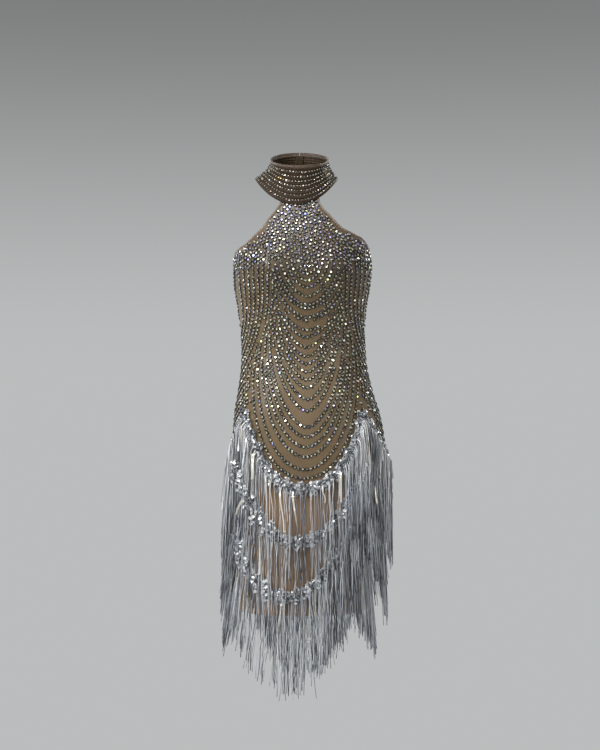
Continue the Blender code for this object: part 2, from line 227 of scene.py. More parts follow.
def on_body(angle, z):
    """Points of the worn body at angles and heights."""
    angle, z = np.broadcast_arrays(np.asarray(angle, float), np.asarray(z, float))
    middle_x, half_x, middle_y, half_y = level(z)
    turn = np.radians(angle)
    sine, cosine = np.sin(turn), np.cos(turn)
    x = middle_x + half_x * fuller(sine)
    y = middle_y - half_y * fuller(cosine)
    forward = np.clip(cosine, 0, None) ** 0.5
    for side in (-1, 1):
        across = (x - middle_x - side * CUP_X) / CUP_WIDTH
        up = (z - CUP_Z) / CUP_HEIGHT
        y = y - CUP_DEPTH * np.exp(-across * across - up * up) * forward
    return np.stack([x, y, z], -1)


def one_degree(angle, z):
    """The steps round the body over one degree."""
    angle = np.asarray(angle)
    return on_body(angle + 0.5, z) - on_body(angle - 0.5, z)


def outward(angle, z):
    up = on_body(angle, np.asarray(z) + 1.0) - on_body(angle, np.asarray(z) - 1.0)
    return unit(np.cross(one_degree(angle, z), up))


def lifted(angle, z, lift):
    """Points that distance out from the body."""
    return on_body(angle, z) + outward(angle, z) * np.asarray(lift, float)[..., None]


def seen_at(pixel_x, pixel_y):
    """The angle and height of the front of the body behind a pixel of the picture."""
    pixel_x, pixel_y = np.asarray(pixel_x, float), np.asarray(pixel_y, float)
    y = np.full(pixel_x.shape, -100.0)
    for _ in range(10):
        scale = PIXEL * (y - CAMERA[1]) / -CAMERA[1]
        x = CAMERA[0] + (pixel_x - PICTURE[0] / 2) * scale
        z = CAMERA[2] + (PICTURE[1] / 2 - pixel_y) * scale
        middle_x, half_x, _, _ = level(z)
        angle = side_angle(np.clip((x - middle_x) / half_x, -0.9995, 0.9995))
        y = on_body(angle, z)[..., 1]
    return angle, z


def picture_place(angle, z):
    """Where points on the body are seen in the picture, in pixels."""
    x, y, z = on_body(angle, z).T
    scale = PIXEL * (y - CAMERA[1]) / -CAMERA[1]
    return (x - CAMERA[0]) / scale + PICTURE[0] / 2, PICTURE[1] / 2 - (z - CAMERA[2]) / scale


def lengths(line):
    """The way along a line from its start to each of its points."""
    return np.concatenate([[0], np.cumsum(np.linalg.norm(np.diff(line, axis=0), axis=1))])


def points_at(at, along, line):
    """Points of a line at ways from its start."""
    return np.stack([np.interp(at, along, column) for column in np.transpose(line)], -1)


def seam_angle():
    least = min(row[4] - row[3] for row in SECTIONS[2:]) / 2
    return math.degrees((GAP / 2 / least) ** (1 / SQUARENESS))


def finer_edge(edge, steps=6):
    """An edge's rows joined by straight stretches, as in the solid, in finer steps."""
    rows = [
        (angle + (next_angle - angle) * i / steps, z + (next_z - z) * i / steps)
        for (angle, z), (next_angle, next_z) in zip(edge, edge[1:])
        for i in range(steps)
    ]
    return rows + [tuple(edge[-1])]


def smooth_edge(edge, count):
    angles, heights = zip(*edge)
    return [(angle, smooth_through(angles, heights, angle)) for angle in np.linspace(angles[0], angles[-1], count)]


def clear_of_seams(edge):
    """The edge with its ends half a gap short of the side seams."""
    middle = (edge[0][0] + edge[-1][0]) / 2
    return [
        (angle + math.copysign(seam_angle(), middle - angle) if angle in SEAMS else angle, z)
        for angle, z in edge
    ]


def moved_inward(edge, distance):
    """The edge moved down onto the cloth, square to itself."""
    moved = []
    for i, (angle, z) in enumerate(edge):
        before, after = edge[max(i - 1, 0)], edge[min(i + 1, len(edge) - 1)]
        per_degree = np.linalg.norm(one_degree(angle, z))
        run, rise = (after[0] - before[0]) * per_degree, after[1] - before[1]
        length = math.hypot(run, rise)
        turned = angle if angle in SEAMS else angle + distance * rise / length / per_degree
        moved.append((turned, z - distance * run / length))
    return moved


# ---- Meshes ----

def mesh_from(name, points, faces, finish, slot=None, node=None, tints=None, layout=None, smooth=True):
    """A piece from arrays: points in mm, lists of faces by their number of corners, a tint and a place
    on the flat cloth for each point. It stands for a node of the part where one is named."""
    faces = [np.asarray(group, np.int32) for group in faces]
    corners = np.concatenate([group.ravel() for group in faces])
    sizes = np.concatenate([np.full(len(group), group.shape[1], np.int32) for group in faces])
    starts = np.concatenate([[0], np.cumsum(sizes)[:-1]]).astype(np.int32)
    mesh = bpy.data.meshes.new(name)
    mesh.vertices.add(len(points))
    mesh.vertices.foreach_set("co", (np.asarray(points, float) * MM).astype(np.float32).ravel())
    mesh.loops.add(len(corners))
    mesh.polygons.add(len(sizes))
    mesh.polygons.foreach_set("loop_start", starts)
    mesh.polygons.foreach_set("vertices", corners)
    mesh.update(calc_edges=True)
    mesh.validate()
    mesh.polygons.foreach_set("use_smooth", np.full(len(sizes), smooth))
    if tints is not None:
        layer = mesh.color_attributes.new("tint", "FLOAT_COLOR", "CORNER")
        tints = np.asarray(tints, np.float32)
        per_corner = tints[corners] if len(tints) == len(points) else np.repeat(tints, sizes, axis=0)
        full = np.ones((len(corners), 4), np.float32)
        full[:, : per_corner.shape[1]] = per_corner
        layer.data.foreach_set("color", full.ravel())
    if layout is not None:
        flat = mesh.uv_layers.new(name="flat")
        flat.data.foreach_set("uv", (np.asarray(layout)[corners] * MM).astype(np.float32).ravel())
    made = bpy.data.objects.new(name, mesh)
    made.data.materials.append(finish)
    bpy.context.scene.collection.objects.link(made)
    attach(made, "root")
    if node:
        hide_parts(node)
    return made


def grid_faces(rows, columns, around=False):
    """Quads of a grid of points, row by row."""
    row = np.arange(rows - 1)[:, None] * columns
    column = np.arange(columns if around else columns - 1)[None, :]
    following = (column + 1) % columns
    quads = np.stack([row + column, row + columns + column, row + columns + following, row + following], -1)
    return quads.reshape(-1, 4)


def copied(group, count, size):
    """The faces of copies of a form that has size points."""
    return (group[None] + (np.arange(count) * size)[:, None, None]).reshape(-1, group.shape[1])


def shell(name, outer, inner, finish, layout, slot, node=None):
    """A thin closed cloth between two grids of the same size."""
    rows, columns = outer.shape[:2]
    count = rows * columns
    quads = grid_faces(rows, columns)
    side, down = np.arange(columns - 1), columns * np.arange(rows - 1)
    rim = np.concatenate([side, columns - 1 + down, count - 1 - side, count - columns - down])
    following = np.roll(rim, -1)
    walls = np.stack([rim, following, following + count, rim + count], -1)
    points = np.concatenate([outer.reshape(-1, 3), inner.reshape(-1, 3)])
    faces = [np.concatenate([quads, quads[:, ::-1] + count, walls])]
    return mesh_from(name, points, faces, finish, slot, node, layout=np.tile(layout.reshape(-1, 2), (2, 1)))


def frames_at(points, normals, random, tilt):
    """Three directions at each point: across, along and out, turned and tilted at random."""
    count = len(points)
    out = unit(normals + random.normal(0, math.tan(math.radians(tilt)), (count, 3)))
    across = unit(np.cross(out, random.normal(0, 1, (count, 3))))
    return np.stack([across, np.cross(out, across), out], 1)


def scattered(template, faces, places, frames, sizes):
    """Copies of a small form, one at each place, and their faces."""
    local = template[None] * np.asarray(sizes, float).reshape(len(places), 1, -1)
    points = np.einsum("nvk,nkj->nvj", local, frames) + places[:, None]
    return points.reshape(-1, 3), [copied(group, len(places), len(template)) for group in faces]


def octagon(radius, height):
    turn = np.arange(8) * math.pi / 4
    return np.stack([radius * np.cos(turn), radius * np.sin(turn), np.full(8, height)], -1)


def value_noise(u, v, seed):
    """Smooth noise between -1 and 1 over two numbers, one bump for each unit."""
    lattice = np.random.default_rng(seed).uniform(-1, 1, (64, 64))
    iu, iv = np.floor(u).astype(int), np.floor(v).astype(int)
    fu, fv = u - iu, v - iv
    fu, fv = fu * fu * (3 - 2 * fu), fv * fv * (3 - 2 * fv)
    a = lattice[iu % 64, iv % 64] * (1 - fu) + lattice[(iu + 1) % 64, iv % 64] * fu
    b = lattice[iu % 64, (iv + 1) % 64] * (1 - fu) + lattice[(iu + 1) % 64, (iv + 1) % 64] * fu
    return a * (1 - fv) + b * fv


# ---- Materials ----

class Nodes:
    """Short ways to add nodes to a tree."""

    def __init__(self, tree):
        self.tree = tree

    def node(self, kind, *values, **settings):
        """A new node, with its first sockets filled by numbers or links."""
        made = self.tree.nodes.new("ShaderNode" + kind)
        for key, value in settings.items():
            setattr(made, key, value)
        for value, socket in zip(values, made.inputs):
            self.put(value, socket)
        return made

    def put(self, value, socket):
        if isinstance(value, (int, float)):
            socket.default_value = value
        elif isinstance(value, tuple):
            socket.default_value = (*value, 1.0)
        else:
            self.tree.links.new(value, socket)

    def math(self, operation, *values):
        return self.node("Math", *values, operation=operation).outputs[0]

    def spread(self, value, low, high, to_low=0.0, to_high=1.0, **settings):
        return self.node("MapRange", value, low, high, to_low, to_high, **settings).outputs[0]

    def parts(self, vector):
        return self.node("SeparateXYZ", vector).outputs


class Finish(Nodes):
    """A material, with its place on the object and short ways to finish it."""

    def __init__(self, name):
        self.material = bpy.data.materials.new(name)
        self.material.use_nodes = True
        super().__init__(self.material.node_tree)
        self.shader = self.tree.nodes["Principled BSDF"]
        self.place = self.node("TexCoord").outputs["Object"]

    def mix(self, share, first, second, blend_type="MIX"):
        made = self.node("Mix", share, data_type="RGBA", blend_type=blend_type)
        self.put(first, made.inputs[6])
        self.put(second, made.inputs[7])
        return made.outputs[2]

    def noise(self, scale, detail=3.0, stretch=None):
        """Noise over the object, stretched by a scale on each axis where one is given."""
        where = self.place
        if stretch:
            mapping = self.node("Mapping", where)
            mapping.inputs["Scale"].default_value = stretch
            where = mapping.outputs[0]
        made = self.node("TexNoise", where)
        for key, value in (("Scale", scale), ("Detail", detail), ("Roughness", 0.55)):
            made.inputs[key].default_value = value
        return made.outputs["Fac"]

    def flat(self):
        return self.parts(self.node("UVMap", uv_map="flat").outputs["UV"])

    def tint(self, part="Color"):
        return self.node("VertexColor", layer_name="tint").outputs[part]

    def wave(self, value, pitch):
        return self.math("SINE", self.math("MULTIPLY", value, 2 * math.pi / pitch))

    def bump(self, height, strength, distance, below=None):
        made = self.node("Bump")
        made.inputs["Strength"].default_value = strength
        made.inputs["Distance"].default_value = distance
        self.put(height, made.inputs["Height"])
        if below is not None:
            self.put(below, made.inputs["Normal"])
        self.put(made.outputs[0], self.shader.inputs["Normal"])
        return made.outputs[0]

    def done(self, colour, rough, **constants):
        """The material, with its colour, its roughness and what is the same all over it."""
        self.put(colour, self.shader.inputs["Base Color"])
        self.put(rough, self.shader.inputs["Roughness"])
        for key, value in constants.items():
            self.shader.inputs[key.replace("_", " ")].default_value = value
        return self.material


def mesh_cloth(name, dark, light, sheen, gloss):
    """Fine stretch net: two crossing families of threads, and what shows between them. It is darkened by painted
    shade under the crystals of the chest, paler in the skirt partly for a pinker lining and partly by painted
    light against the fringe's shade, and paler where doubled at the hem, which is also partly painted light
    against that shade."""
    finish = Finish(name)
    u, v, _ = finish.flat()
    rising, falling = (
        finish.wave(finish.math("MULTIPLY_ADD", v, slant, u), NET_PITCH) for slant in (0.6, -0.6)
    )
    threads = finish.spread(finish.math("MAXIMUM", rising, falling), 0.1, 0.95)
    wide = finish.spread(finish.noise(11.0, 4.0), 0.3, 0.7, 0.12, 0.5)
    shade = finish.math("MULTIPLY_ADD", threads, 0.34, wide)
    shade = finish.math("MULTIPLY_ADD", finish.noise(160.0), 0.22, shade)
    height = finish.parts(finish.place)[2]
    turned = HEM_Z + HEM_TURNED
    # Paler at the turned hem, partly for the doubled net and partly painted light that lifts the fringe's shade
    shade = finish.math("ADD", shade, finish.spread(height, turned * MM, (turned + 0.4) * MM, 0.9, 0.0))
    # Painted light pales the skirt's net, with a pinker lining
    skirt = finish.spread(height, -0.64, -0.58, 1.0, 0.0)
    # Painted shade of the crystals darkens the chest's net
    chest = finish.spread(height, -0.225, -0.185)
    painted_light_and_lining = finish.mix(chest, finish.mix(skirt, (1.0, 1.0, 1.0), SKIRT_LINING_AND_PAINTED_LIGHT), CHEST_PAINTED_SHADE)
    drag = finish.bump(finish.noise(1.0, stretch=(9.0, 9.0, 55.0)), 0.35, 0.0022)
    finish.bump(threads, 0.35, 0.00022, drag)
    return finish.done(
        finish.mix(1.0, finish.mix(shade, dark, light), painted_light_and_lining, "MULTIPLY"),
        finish.math("MULTIPLY_ADD", threads, -0.16, 0.66),
        Sheen_Weight=sheen, Sheen_Roughness=0.45, Coat_Weight=gloss, Coat_Roughness=0.36, Specular_IOR_Level=0.3,
    )


def binding_cloth(name, dark, light):
    """Satin elastic: fine ribs across the strip."""
    finish = Finish(name)
    u, v, _ = finish.flat()
    weave = finish.math("MULTIPLY_ADD", finish.wave(v, 0.0013), 0.5, finish.wave(u, 0.0009))
    weave = finish.spread(weave, -1.2, 1.2)
    shade = finish.math("MULTIPLY_ADD", weave, 0.35, finish.spread(finish.noise(45.0, 4.0), 0.3, 0.7, 0.1, 0.6))
    finish.bump(weave, 0.5, 0.0003)
    return finish.done(
        finish.mix(shade, dark, light), finish.math("MULTIPLY_ADD", weave, -0.12, 0.5),
        Sheen_Weight=0.25, Sheen_Roughness=0.4,
    )


def crystal_glass(name):
    """Foil-backed glass: each facet has its own tint, and small flaws break up the gloss. A few tables also give
    off light from the tint's alpha, as painted glare.
    """
    finish = Finish(name)
    specks = finish.noise(900.0, 2.0)
    finish.bump(specks, 0.05, 0.0002)
    # Painted glare: the tint's alpha makes a few tables give off light
    finish.put(finish.tint(), finish.shader.inputs["Emission Color"])
    finish.put(finish.math("MULTIPLY", finish.tint("Alpha"), 1.6), finish.shader.inputs["Emission Strength"])
    return finish.done(
        finish.mix(finish.spread(specks, 0.35, 0.7, 0.0, 0.1), finish.tint(), (0.4, 0.38, 0.3)),
        finish.spread(specks, 0.3, 0.7, 0.06, 0.2),
        Metallic=0.25, Coat_Weight=0.3, Coat_Roughness=0.03, IOR=1.42,
    )


def sequin_foil(name):
    """Silver plastic film with a slightly crinkled gloss."""
    finish = Finish(name)
    crinkle = finish.noise(420.0)
    finish.bump(crinkle, 0.25, 0.0004)
    return finish.done(
        finish.mix(finish.spread(crinkle, 0.3, 0.7, 0.0, 0.3), finish.tint(), (0.7, 0.74, 0.8)),
        finish.spread(crinkle, 0.3, 0.7, 0.12, 0.34),
        Metallic=0.3, Coat_Weight=0.9, Coat_Roughness=0.06,
    )


def fringe_yarn(name):
    """Lustrous rayon cord: a twist of plies winds round every strand."""
    finish = Finish(name)
    x, y, z = finish.parts(finish.place)
    around = finish.math("MULTIPLY", finish.math("ADD", x, y), 2600.0)
    plies = finish.spread(finish.math("SINE", finish.math("MULTIPLY_ADD", z, 1900.0, around)), -1.0, 1.0)
    streaks = finish.spread(finish.noise(1.0, stretch=(260.0, 260.0, 14.0)), 0.3, 0.7, 0.35, 0.85)
    shade = finish.math("MULTIPLY_ADD", plies, 0.3, streaks)
    finish.bump(plies, 0.5, 0.0003)
    return finish.done(
        finish.mix(1.0, finish.tint(), finish.mix(shade, (0.56, 0.57, 0.6), (1.0, 1.0, 1.0)), "MULTIPLY"),
        finish.math("MULTIPLY_ADD", plies, -0.12, 0.42),
        Metallic=0.1, Coat_Weight=0.4, Coat_Roughness=0.22, Sheen_Weight=0.2, Sheen_Roughness=0.35,
    )


def stitching_thread(name, colour):
    finish = Finish(name)
    fibres = finish.noise(1500.0, 2.0)
    finish.bump(fibres, 0.4, 0.0001)
    dark, light = (tuple(min(share * c, 1) for c in colour) for share in (0.7, 1.25))
    return finish.done(finish.mix(fibres, dark, light), finish.spread(fibres, 0.3, 0.7, 0.4, 0.65))


def plated_metal(name):
    finish = Finish(name)
    brushed = finish.noise(1.0, stretch=(300.0, 900.0, 3200.0))
    finish.bump(brushed, 0.2, 0.0001)
    return finish.done(
        finish.mix(brushed, (0.45, 0.45, 0.43), (0.7, 0.69, 0.66)),
        finish.spread(brushed, 0.3, 0.7, 0.22, 0.42), Metallic=1.0,
    )


def plaster(name, dark, light):
    finish = Finish(name)
    grain = finish.noise(60.0, 4.0)
    shade = finish.math("MULTIPLY_ADD", grain, 0.15, finish.noise(0.9, 4.0))
    finish.bump(grain, 0.15, 0.001)
    return finish.done(
        finish.mix(finish.spread(shade, 0.35, 0.75), dark, light), finish.spread(grain, 0.3, 0.7, 0.75, 0.9)
    )


# ---- Cloth ----

def fan_layout(top, first_level, columns, upper_rows, lower_rows):
    """Angles and heights of a panel's grid, whose columns fan out from its upper edge."""
    index = np.linspace(0, len(top) - 1, columns + 1)
    top_angle, top_z = points_at(index, np.arange(len(top)), top).T
    even = top[0][0] + (top[-1][0] - top[0][0]) * index / (len(top) - 1)
    share = (np.arange(upper_rows) / upper_rows)[:, None]
    low = np.linspace(first_level, HEM_Z, lower_rows + 1)[:, None]
    angle = np.concatenate([top_angle + (even - top_angle) * share, np.repeat(even[None], lower_rows + 1, 0)])
    z = np.concatenate([top_z + (first_level - top_z) * share, np.repeat(low, columns + 1, 1)])
    return angle, z


def creases(angle, z):
    """Slight drags of the stretched cloth, in mm: across the waist, and down towards the hem."""
    drags = value_noise(angle / 34.0, z / 11.0, 3) * 0.35 * np.exp(-(((z + 345) / 70) ** 2))
    bust = value_noise(angle / 9.0, (z + angle * 0.6) / 26.0, 4) * 0.3 * np.exp(-(((z + 215) / 45) ** 2))
    skirt = value_noise(angle / 7.0, z / 120.0, 5) * 0.5 * np.clip((-z - 560) / 250, 0, 1)
    return drags + bust + skirt


def cloth_panel(name, node, layout, finish):
    angle, z = layout
    turned = np.clip((HEM_Z + HEM_TURNED - z) / 1.2 + 0.5, 0, 1)
    relief = np.clip(0.25 + 0.5 * creases(angle, z), 0.0, 0.55)
    outer = lifted(angle, z, 0.75 + relief * (1 - turned) + 0.45 * turned)
    inner = lifted(angle, z, 0.15 + 0.4 * relief * (1 - turned))
    flat = np.stack([np.radians(angle) * 128.0, z], -1)
    return shell(name, outer, inner, finish, flat, "nude_mesh", node)


def armhole_edges():
    return finer_edge(RIGHT_ARMHOLE), finer_edge(LEFT_ARMHOLE)


def front_top():
    """The front's upper edge: both armholes' bindings and the short join under the collar."""
    right, left = (clear_of_seams(moved_inward(edge, BINDING_WIDTH + GAP)) for edge in armhole_edges())
    return right + finer_edge([right[-1], left[0]], 18)[1:-1] + left


def back_top():
    return clear_of_seams(moved_inward(smooth_edge(BACK_EDGE, 73), BINDING_WIDTH + GAP))


def rounded_strip(name, node, upper, lower, finish):
    """A binding folded over an edge: two rolled faces that meet in a rounded edge."""
    shares = np.array((0.0, 0.1, 0.3, 0.62, 0.8, 0.9, 1.0))
    rows = [(upper + (lower - upper) * share).T for share in shares]
    lifts = BINDING_THICKNESS * np.array((0.35, 0.85, 1.0, 0.86, 0.55, 0.84, 0.66))
    outer = np.array([lifted(*row, lift) for row, lift in zip(rows, lifts)])
    inner = np.array([lifted(*row, (BINDING_THICKNESS - lift) / 2) for row, lift in zip(rows, lifts)])
    width = np.linalg.norm(outer[-1] - outer[0], axis=1).mean()
    flat = np.stack(np.meshgrid(lengths(outer[2]), shares * width), -1)
    return shell(name, outer, inner, finish, flat, "tan_binding", node)


def stitches(name, lines, thread, length=2.0, gap=1.1, width=0.42):
    """Short raised stitches along lines of points on the cloth, joined as one piece."""
    ring = np.array([(0.5, 0, 0), (0, 0, 0.5), (-0.5, 0, 0), (0, 0, -0.5)])
    template = np.concatenate(
        [ring * (thick, 1, thick) + (0, y, 0) for thick, y in ((0.3, -0.5), (1, -0.3), (1, 0.3), (0.3, 0.5))]
    )
    faces = [np.concatenate([grid_faces(4, 4, around=True), [[3, 2, 1, 0], [12, 13, 14, 15]]])]
    places, frames = [], []
    for line, normals in lines:
        along = lengths(line)
        at = np.arange(length / 2, along[-1] - length / 2, length + gap)
        spots = points_at(at, along, line)
        ahead = unit(points_at(at + 0.5, along, line) - spots)
        across = unit(np.cross(ahead, points_at(at, along, normals)))
        places.append(spots)
        frames.append(np.stack([across, ahead, np.cross(across, ahead)], 1))
    places, frames = np.concatenate(places), np.concatenate(frames)
    sizes = np.tile((width, length, width), (len(places), 1))
    return mesh_from(name, *scattered(template, faces, places, frames, sizes), thread)


def line_on_cloth(angle, z, lift):
    """Points along the cloth and the directions away from it."""
    return lifted(angle, z, lift), outward(angle, z)


def hem_lines(angle_start, angle_end):
    angle = np.linspace(angle_start, angle_end, 500)
    z = HEM_Z + HEM_TURNED
    return [line_on_cloth(angle, np.full(500, z - below), HEM_STITCH_LIFT) for below in (1.0, 3.2)]


def seam_lines(side):
    z = np.linspace(-168, HEM_Z + 3, 400)
    return [
        line_on_cloth(np.full(400, side * SIDE_SEAM + beside / SIDE_DEGREE), z, STITCH_LIFT)
        for beside in (-1.3, 1.3)
    ]


# ---- Collar ----

def collar_ends(angle):
    """The collar's top and lower edge. In front the lower edge is seated on the chest."""
    turn = np.radians(angle)
    sine, cosine = np.sin(turn), np.cos(turn)
    half_x, half_y, top_z, tilt = COLLAR_TOP
    top = np.stack([half_x * sine, -half_y * cosine, top_z - tilt * cosine], -1)
    half_x, half_y, low_z, dip, rise, shift = COLLAR_LOW
    ahead, behind = np.clip(cosine, 0, None), np.clip(-cosine, 0, None)
    z = low_z - dip * ahead**COLLAR_FLARE + rise * behind**COLLAR_FLARE
    low = np.stack([shift + half_x * sine, -half_y * fuller(cosine), z], -1)
    start, end = COLLAR_SEATED
    t = np.clip((np.abs(signed(angle)) - start) / (end - start), 0, 1)
    seated = (1 - t * t * (3 - 2 * t))[..., None]
    middle_x, body_half, _, _ = level(z)
    on_chest = lifted(side_angle(np.clip((low[..., 0] - middle_x) / body_half, -1, 1)), z, COLLAR_LIFT)
    return top, low * (1 - seated) + on_chest * seated


def collar_point(angle, share, fold):
    """Points of the collar: share 0 at its top and 1 at its lower edge, fold 1 on a crest."""
    top, low = collar_ends(angle)
    down = low - top
    spread = share**COLLAR_FLARE
    path = np.stack([down[..., 0] * spread, down[..., 1] * spread, down[..., 2] * share], -1)
    depth = COLLAR_FOLD_DEPTH * np.linalg.norm(down, axis=-1) / COLLAR_FOLDS * fold
    return top + path + unit(level_out(angle, 0.35)) * depth[..., None]


def collar_fold(angle, share):
    """Soft rolls: round crests and narrow creases that wander a little round the neck."""
    ends = np.clip(share * 6, 0, 1) * np.clip((1 - share) * 6, 0, 1)
    wander = 0.22 * value_noise(angle / 31.0 + 20, share * 3.0, 8) * ends
    phase = np.cos(np.pi * (share * (2 * COLLAR_FOLDS + 1) + wander))
    deep = 1 + 0.25 * value_noise(angle / 22.0 + 20, share * 7.0, 9)
    return 1 - deep * np.clip((1 - phase) / 2, 0, 1) ** 1.6


def facing_out(first, second, angle):
    """Normals of the collar from two directions along it."""
    normals = unit(np.cross(first, second))
    return normals * np.sign((normals * level_out(angle, 0.3)).sum(-1, keepdims=True))


def make_collar(finish):
    angle, share = np.meshgrid(np.linspace(-COLLAR_END, COLLAR_END, 216), np.linspace(0, 1, 106))
    middle = collar_point(angle, share, collar_fold(angle, share))
    normals = facing_out(np.gradient(middle, axis=1), np.gradient(middle, axis=0), angle)
    flat = np.stack([np.radians(angle) * 66, share * 75], -1)
    outer, inner = (middle + normals * lift for lift in (0.95, 0.15))
    return shell("collar_cloth", outer, inner, finish, flat, "brown_mesh", "collar")


def make_underlap(finish):
    """A narrow strip inside the collar, behind its slit at the back."""
    angle, share = np.meshgrid(np.linspace(172, 187, 9), np.linspace(0.0, 0.97, 60))
    middle = collar_point(angle, share, np.zeros(share.shape))
    outer, inner = (middle - unit(level_out(angle, 0.35)) * depth for depth in (0.25, 0.95))
    flat = np.stack([np.radians(angle) * 60, share * 34], -1)
    return shell("collar_underlap", outer, inner, finish, flat, "brown_mesh")


def collar_crest(end, count):
    """Points along the collar's top and the directions away from it."""
    angle = np.linspace(-end, end, count)
    return angle, collar_point(angle, np.zeros(count), np.ones(count)), level_out(angle)


def make_collar_binding(finish):
    angle, crest, out = collar_crest(COLLAR_END, 216)
    profile = (
        (1.0, 0.8), (0.92, 1.3), (0.78, 1.45), (0.7, 1.15), (0.55, 1.42), (0.32, 1.5), (0.1, 1.25), (0.0, 0.5),
    )
    rows = [(crest + (0, 0, GAP + COLLAR_BINDING_WIDTH * share), thick) for share, thick in profile]
    outer = np.array([row + out * thick for row, thick in rows])
    inner = np.array([row + out * (0.75 - thick / 2) for row, thick in rows])
    shares = np.array(profile)[:, 0]
    flat = np.stack(np.meshgrid(np.radians(angle) * 57, shares * COLLAR_BINDING_WIDTH), -1)
    return shell("collar_binding_cloth", outer, inner, finish, flat, "brown_binding", "collar_binding")


# ---- Crystals ----

def bezier(p0, p1, p2, p3, count=60):
    t = np.linspace(0, 1, count)[:, None]
    p0, p1, p2, p3 = (np.array(p, float) for p in (p0, p1, p2, p3))
    return (1 - t) ** 3 * p0 + 3 * (1 - t) ** 2 * t * p1 + 3 * (1 - t) * t * t * p2 + t**3 * p3


def joined(first, second):
    """Two lines that meet, as one."""
    return np.concatenate([first, second[1:]])


def row_places(line, random):
    """Angles and heights at even steps along a line on the body."""
    along = lengths(on_body(line[:, 0], line[:, 1]))
    count = max(int(round(along[-1] / STONE_PITCH)), 1)
    at = (np.arange(count) + 0.5) * along[-1] / count + random.uniform(-0.35, 0.35, count)
    return points_at(at, along, line)


# How the long swags' arms bend, in pixels, from the lowest height of a swag: how far out and how high an arm
# bends, and how wide the swag is flat, on the picture's left and on its right
SWAG_BENDS = np.array((
    (337, 281, 322, 8, 332, 322, 8), (360, 277, 334, 11, 334, 335, 9), (388.5, 272, 345, 16, 337, 352, 10),
    (411, 263, 349, 18, 341, 372, 12), (428, 256, 352, 22.5, 349.5, 377, 16), (457, 245, 358, 35, 364, 386, 27),
    (469.5, 240, 360, 43, 370, 390, 34), (478.5, 235, 362, 52, 376, 394, 42),
))
SWAG_LOWS = (337, 347.5, 356.5, 364, 372, 380, 388, 399.5, 411, 427, 437, 447, 457, 469.5, 478.5)


def lower_rows():
    """The long swags between the two gathering points under the bust."""
    rows = []
    for low in SWAG_LOWS:
        far, high, flat, far_right, high_right, flat_right = (
            float(np.interp(low, SWAG_BENDS[:, 0], column)) for column in SWAG_BENDS.T[1:]
        )
        x = float(np.interp(low, (337, 400, 440, 478.5), (306.5, 308.0, 306.5, 304.5)))
        left = bezier((277, 303), (far, high), (x - flat, low), (x, low))
        right = bezier((x, low), (x + flat_right, low), (far_right, high_right), (343, 306))
        rows.append(joined(left, right))
    return rows


def upper_rows():
    """The short swags between the busts, in pixels: their lowest heights and their ends."""
    swags = (
        (273.5, (296, 266), (318, 265)), (280.5, (291, 263), (323, 262)), (287, (286, 261), (329, 261)),
        (296, (280, 260), (334.5, 262)), (304.5, (275, 263), (339, 266)), (308, (272.5, 268), (341.5, 272)),
        (317, (272.5, 276), (342.5, 280)), (320.5, (273.5, 284), (343, 288)), (330, (275, 294), (343, 298)),
    )
    rows = []
    for low, *ends in swags:
        arms = []
        for x, y in ends:
            deep, far = low - y, 307.0 - x
            bend, settle = (x + 0.16 * far, y + 0.5 * deep), (307 - 0.42 * far, low - 0.5)
            arms.append(bezier((x, y), bend, settle, (307, low)))
        rows.append(joined(arms[0], arms[1][::-1]))
    return rows


# Where the side rows start over the bust and pass under it, and where the rest gather, in pixels
RIGHT_ROWS = (
    (240.0, 244.6, 249.4, 254.4, 259.4, 264.6, 270.0, 275.5, 281.0),
    (240.5, 245.0, 249.6, 254.2, 258.8, 263.0, 267.8, 273.0, 278.0),
    (275.0, 305.0),
)
LEFT_ROWS = (
    (368.3, 364.2, 359.4, 354.2, 348.6, 343.0, 337.4, 331.6, 326.0),
    (367.0, 363.6, 359.6, 355.2, 350.6, 346.0, 341.2, 336.6, 332.0),
    (342.5, 307.0),
)


def side_rows(side):
    """Lines that fall over one bust, then swing round the side and up to the back, as angles and heights.
    The last of them start at the gathering point under the bust. Side is -1 for the wearer's right."""
    starts, under, gathered = RIGHT_ROWS if side < 0 else LEFT_ROWS
    gathered = np.array(seen_at(*gathered))
    rows = []
    for number in range(1, 6):
        start = np.array((side * (70.0 + 4.3 * number), -158.0))
        low = np.array((side * (92.0 + 0.8 * number), -322.0 + 23.0 * number))
        behind = np.array((side * (115.0 - 3.8 * number), -184.0))
        front = bezier(start, start + (side * 2, -40), low - (side * 5, -16), low)
        rows.append(joined(front, bezier(low, low + (side * 5, 16), behind - (0, 40), behind)))
    for number in range(15):
        low = np.array((side * 93.0, -322.0 - 14.2 * number))
        if number < len(starts):
            first = np.array(seen_at(starts[number], 254.0))
            second = np.array(seen_at(under[number], 284.0))
            bend = second + (second - first) / 55.0 * 22 + (side * 1.5, (low[1] - second[1]) * 0.42)
            lower = bezier(second, bend, low - (side * (22 + number), 0) + (0, 14), low)
            front = joined(bezier(first, first + (0, -18), second + (0, 18), second, 20), lower)
            behind = np.array((side * (116 + 4.2 * number), -184.0 - 0.6 * number))
        else:
            bend = gathered + (side * 5.0, (low[1] - gathered[1]) * 0.45)
            front = bezier(gathered, bend, low - (side * 34, 0) + (0, 16), low)
            behind = np.array((side * 152.0, -258.0))
        back = bezier(low, low + (side * 20, -2), behind + (0, (low[1] - behind[1]) * 0.6), behind)
        rows.append(joined(front, back))
    return rows


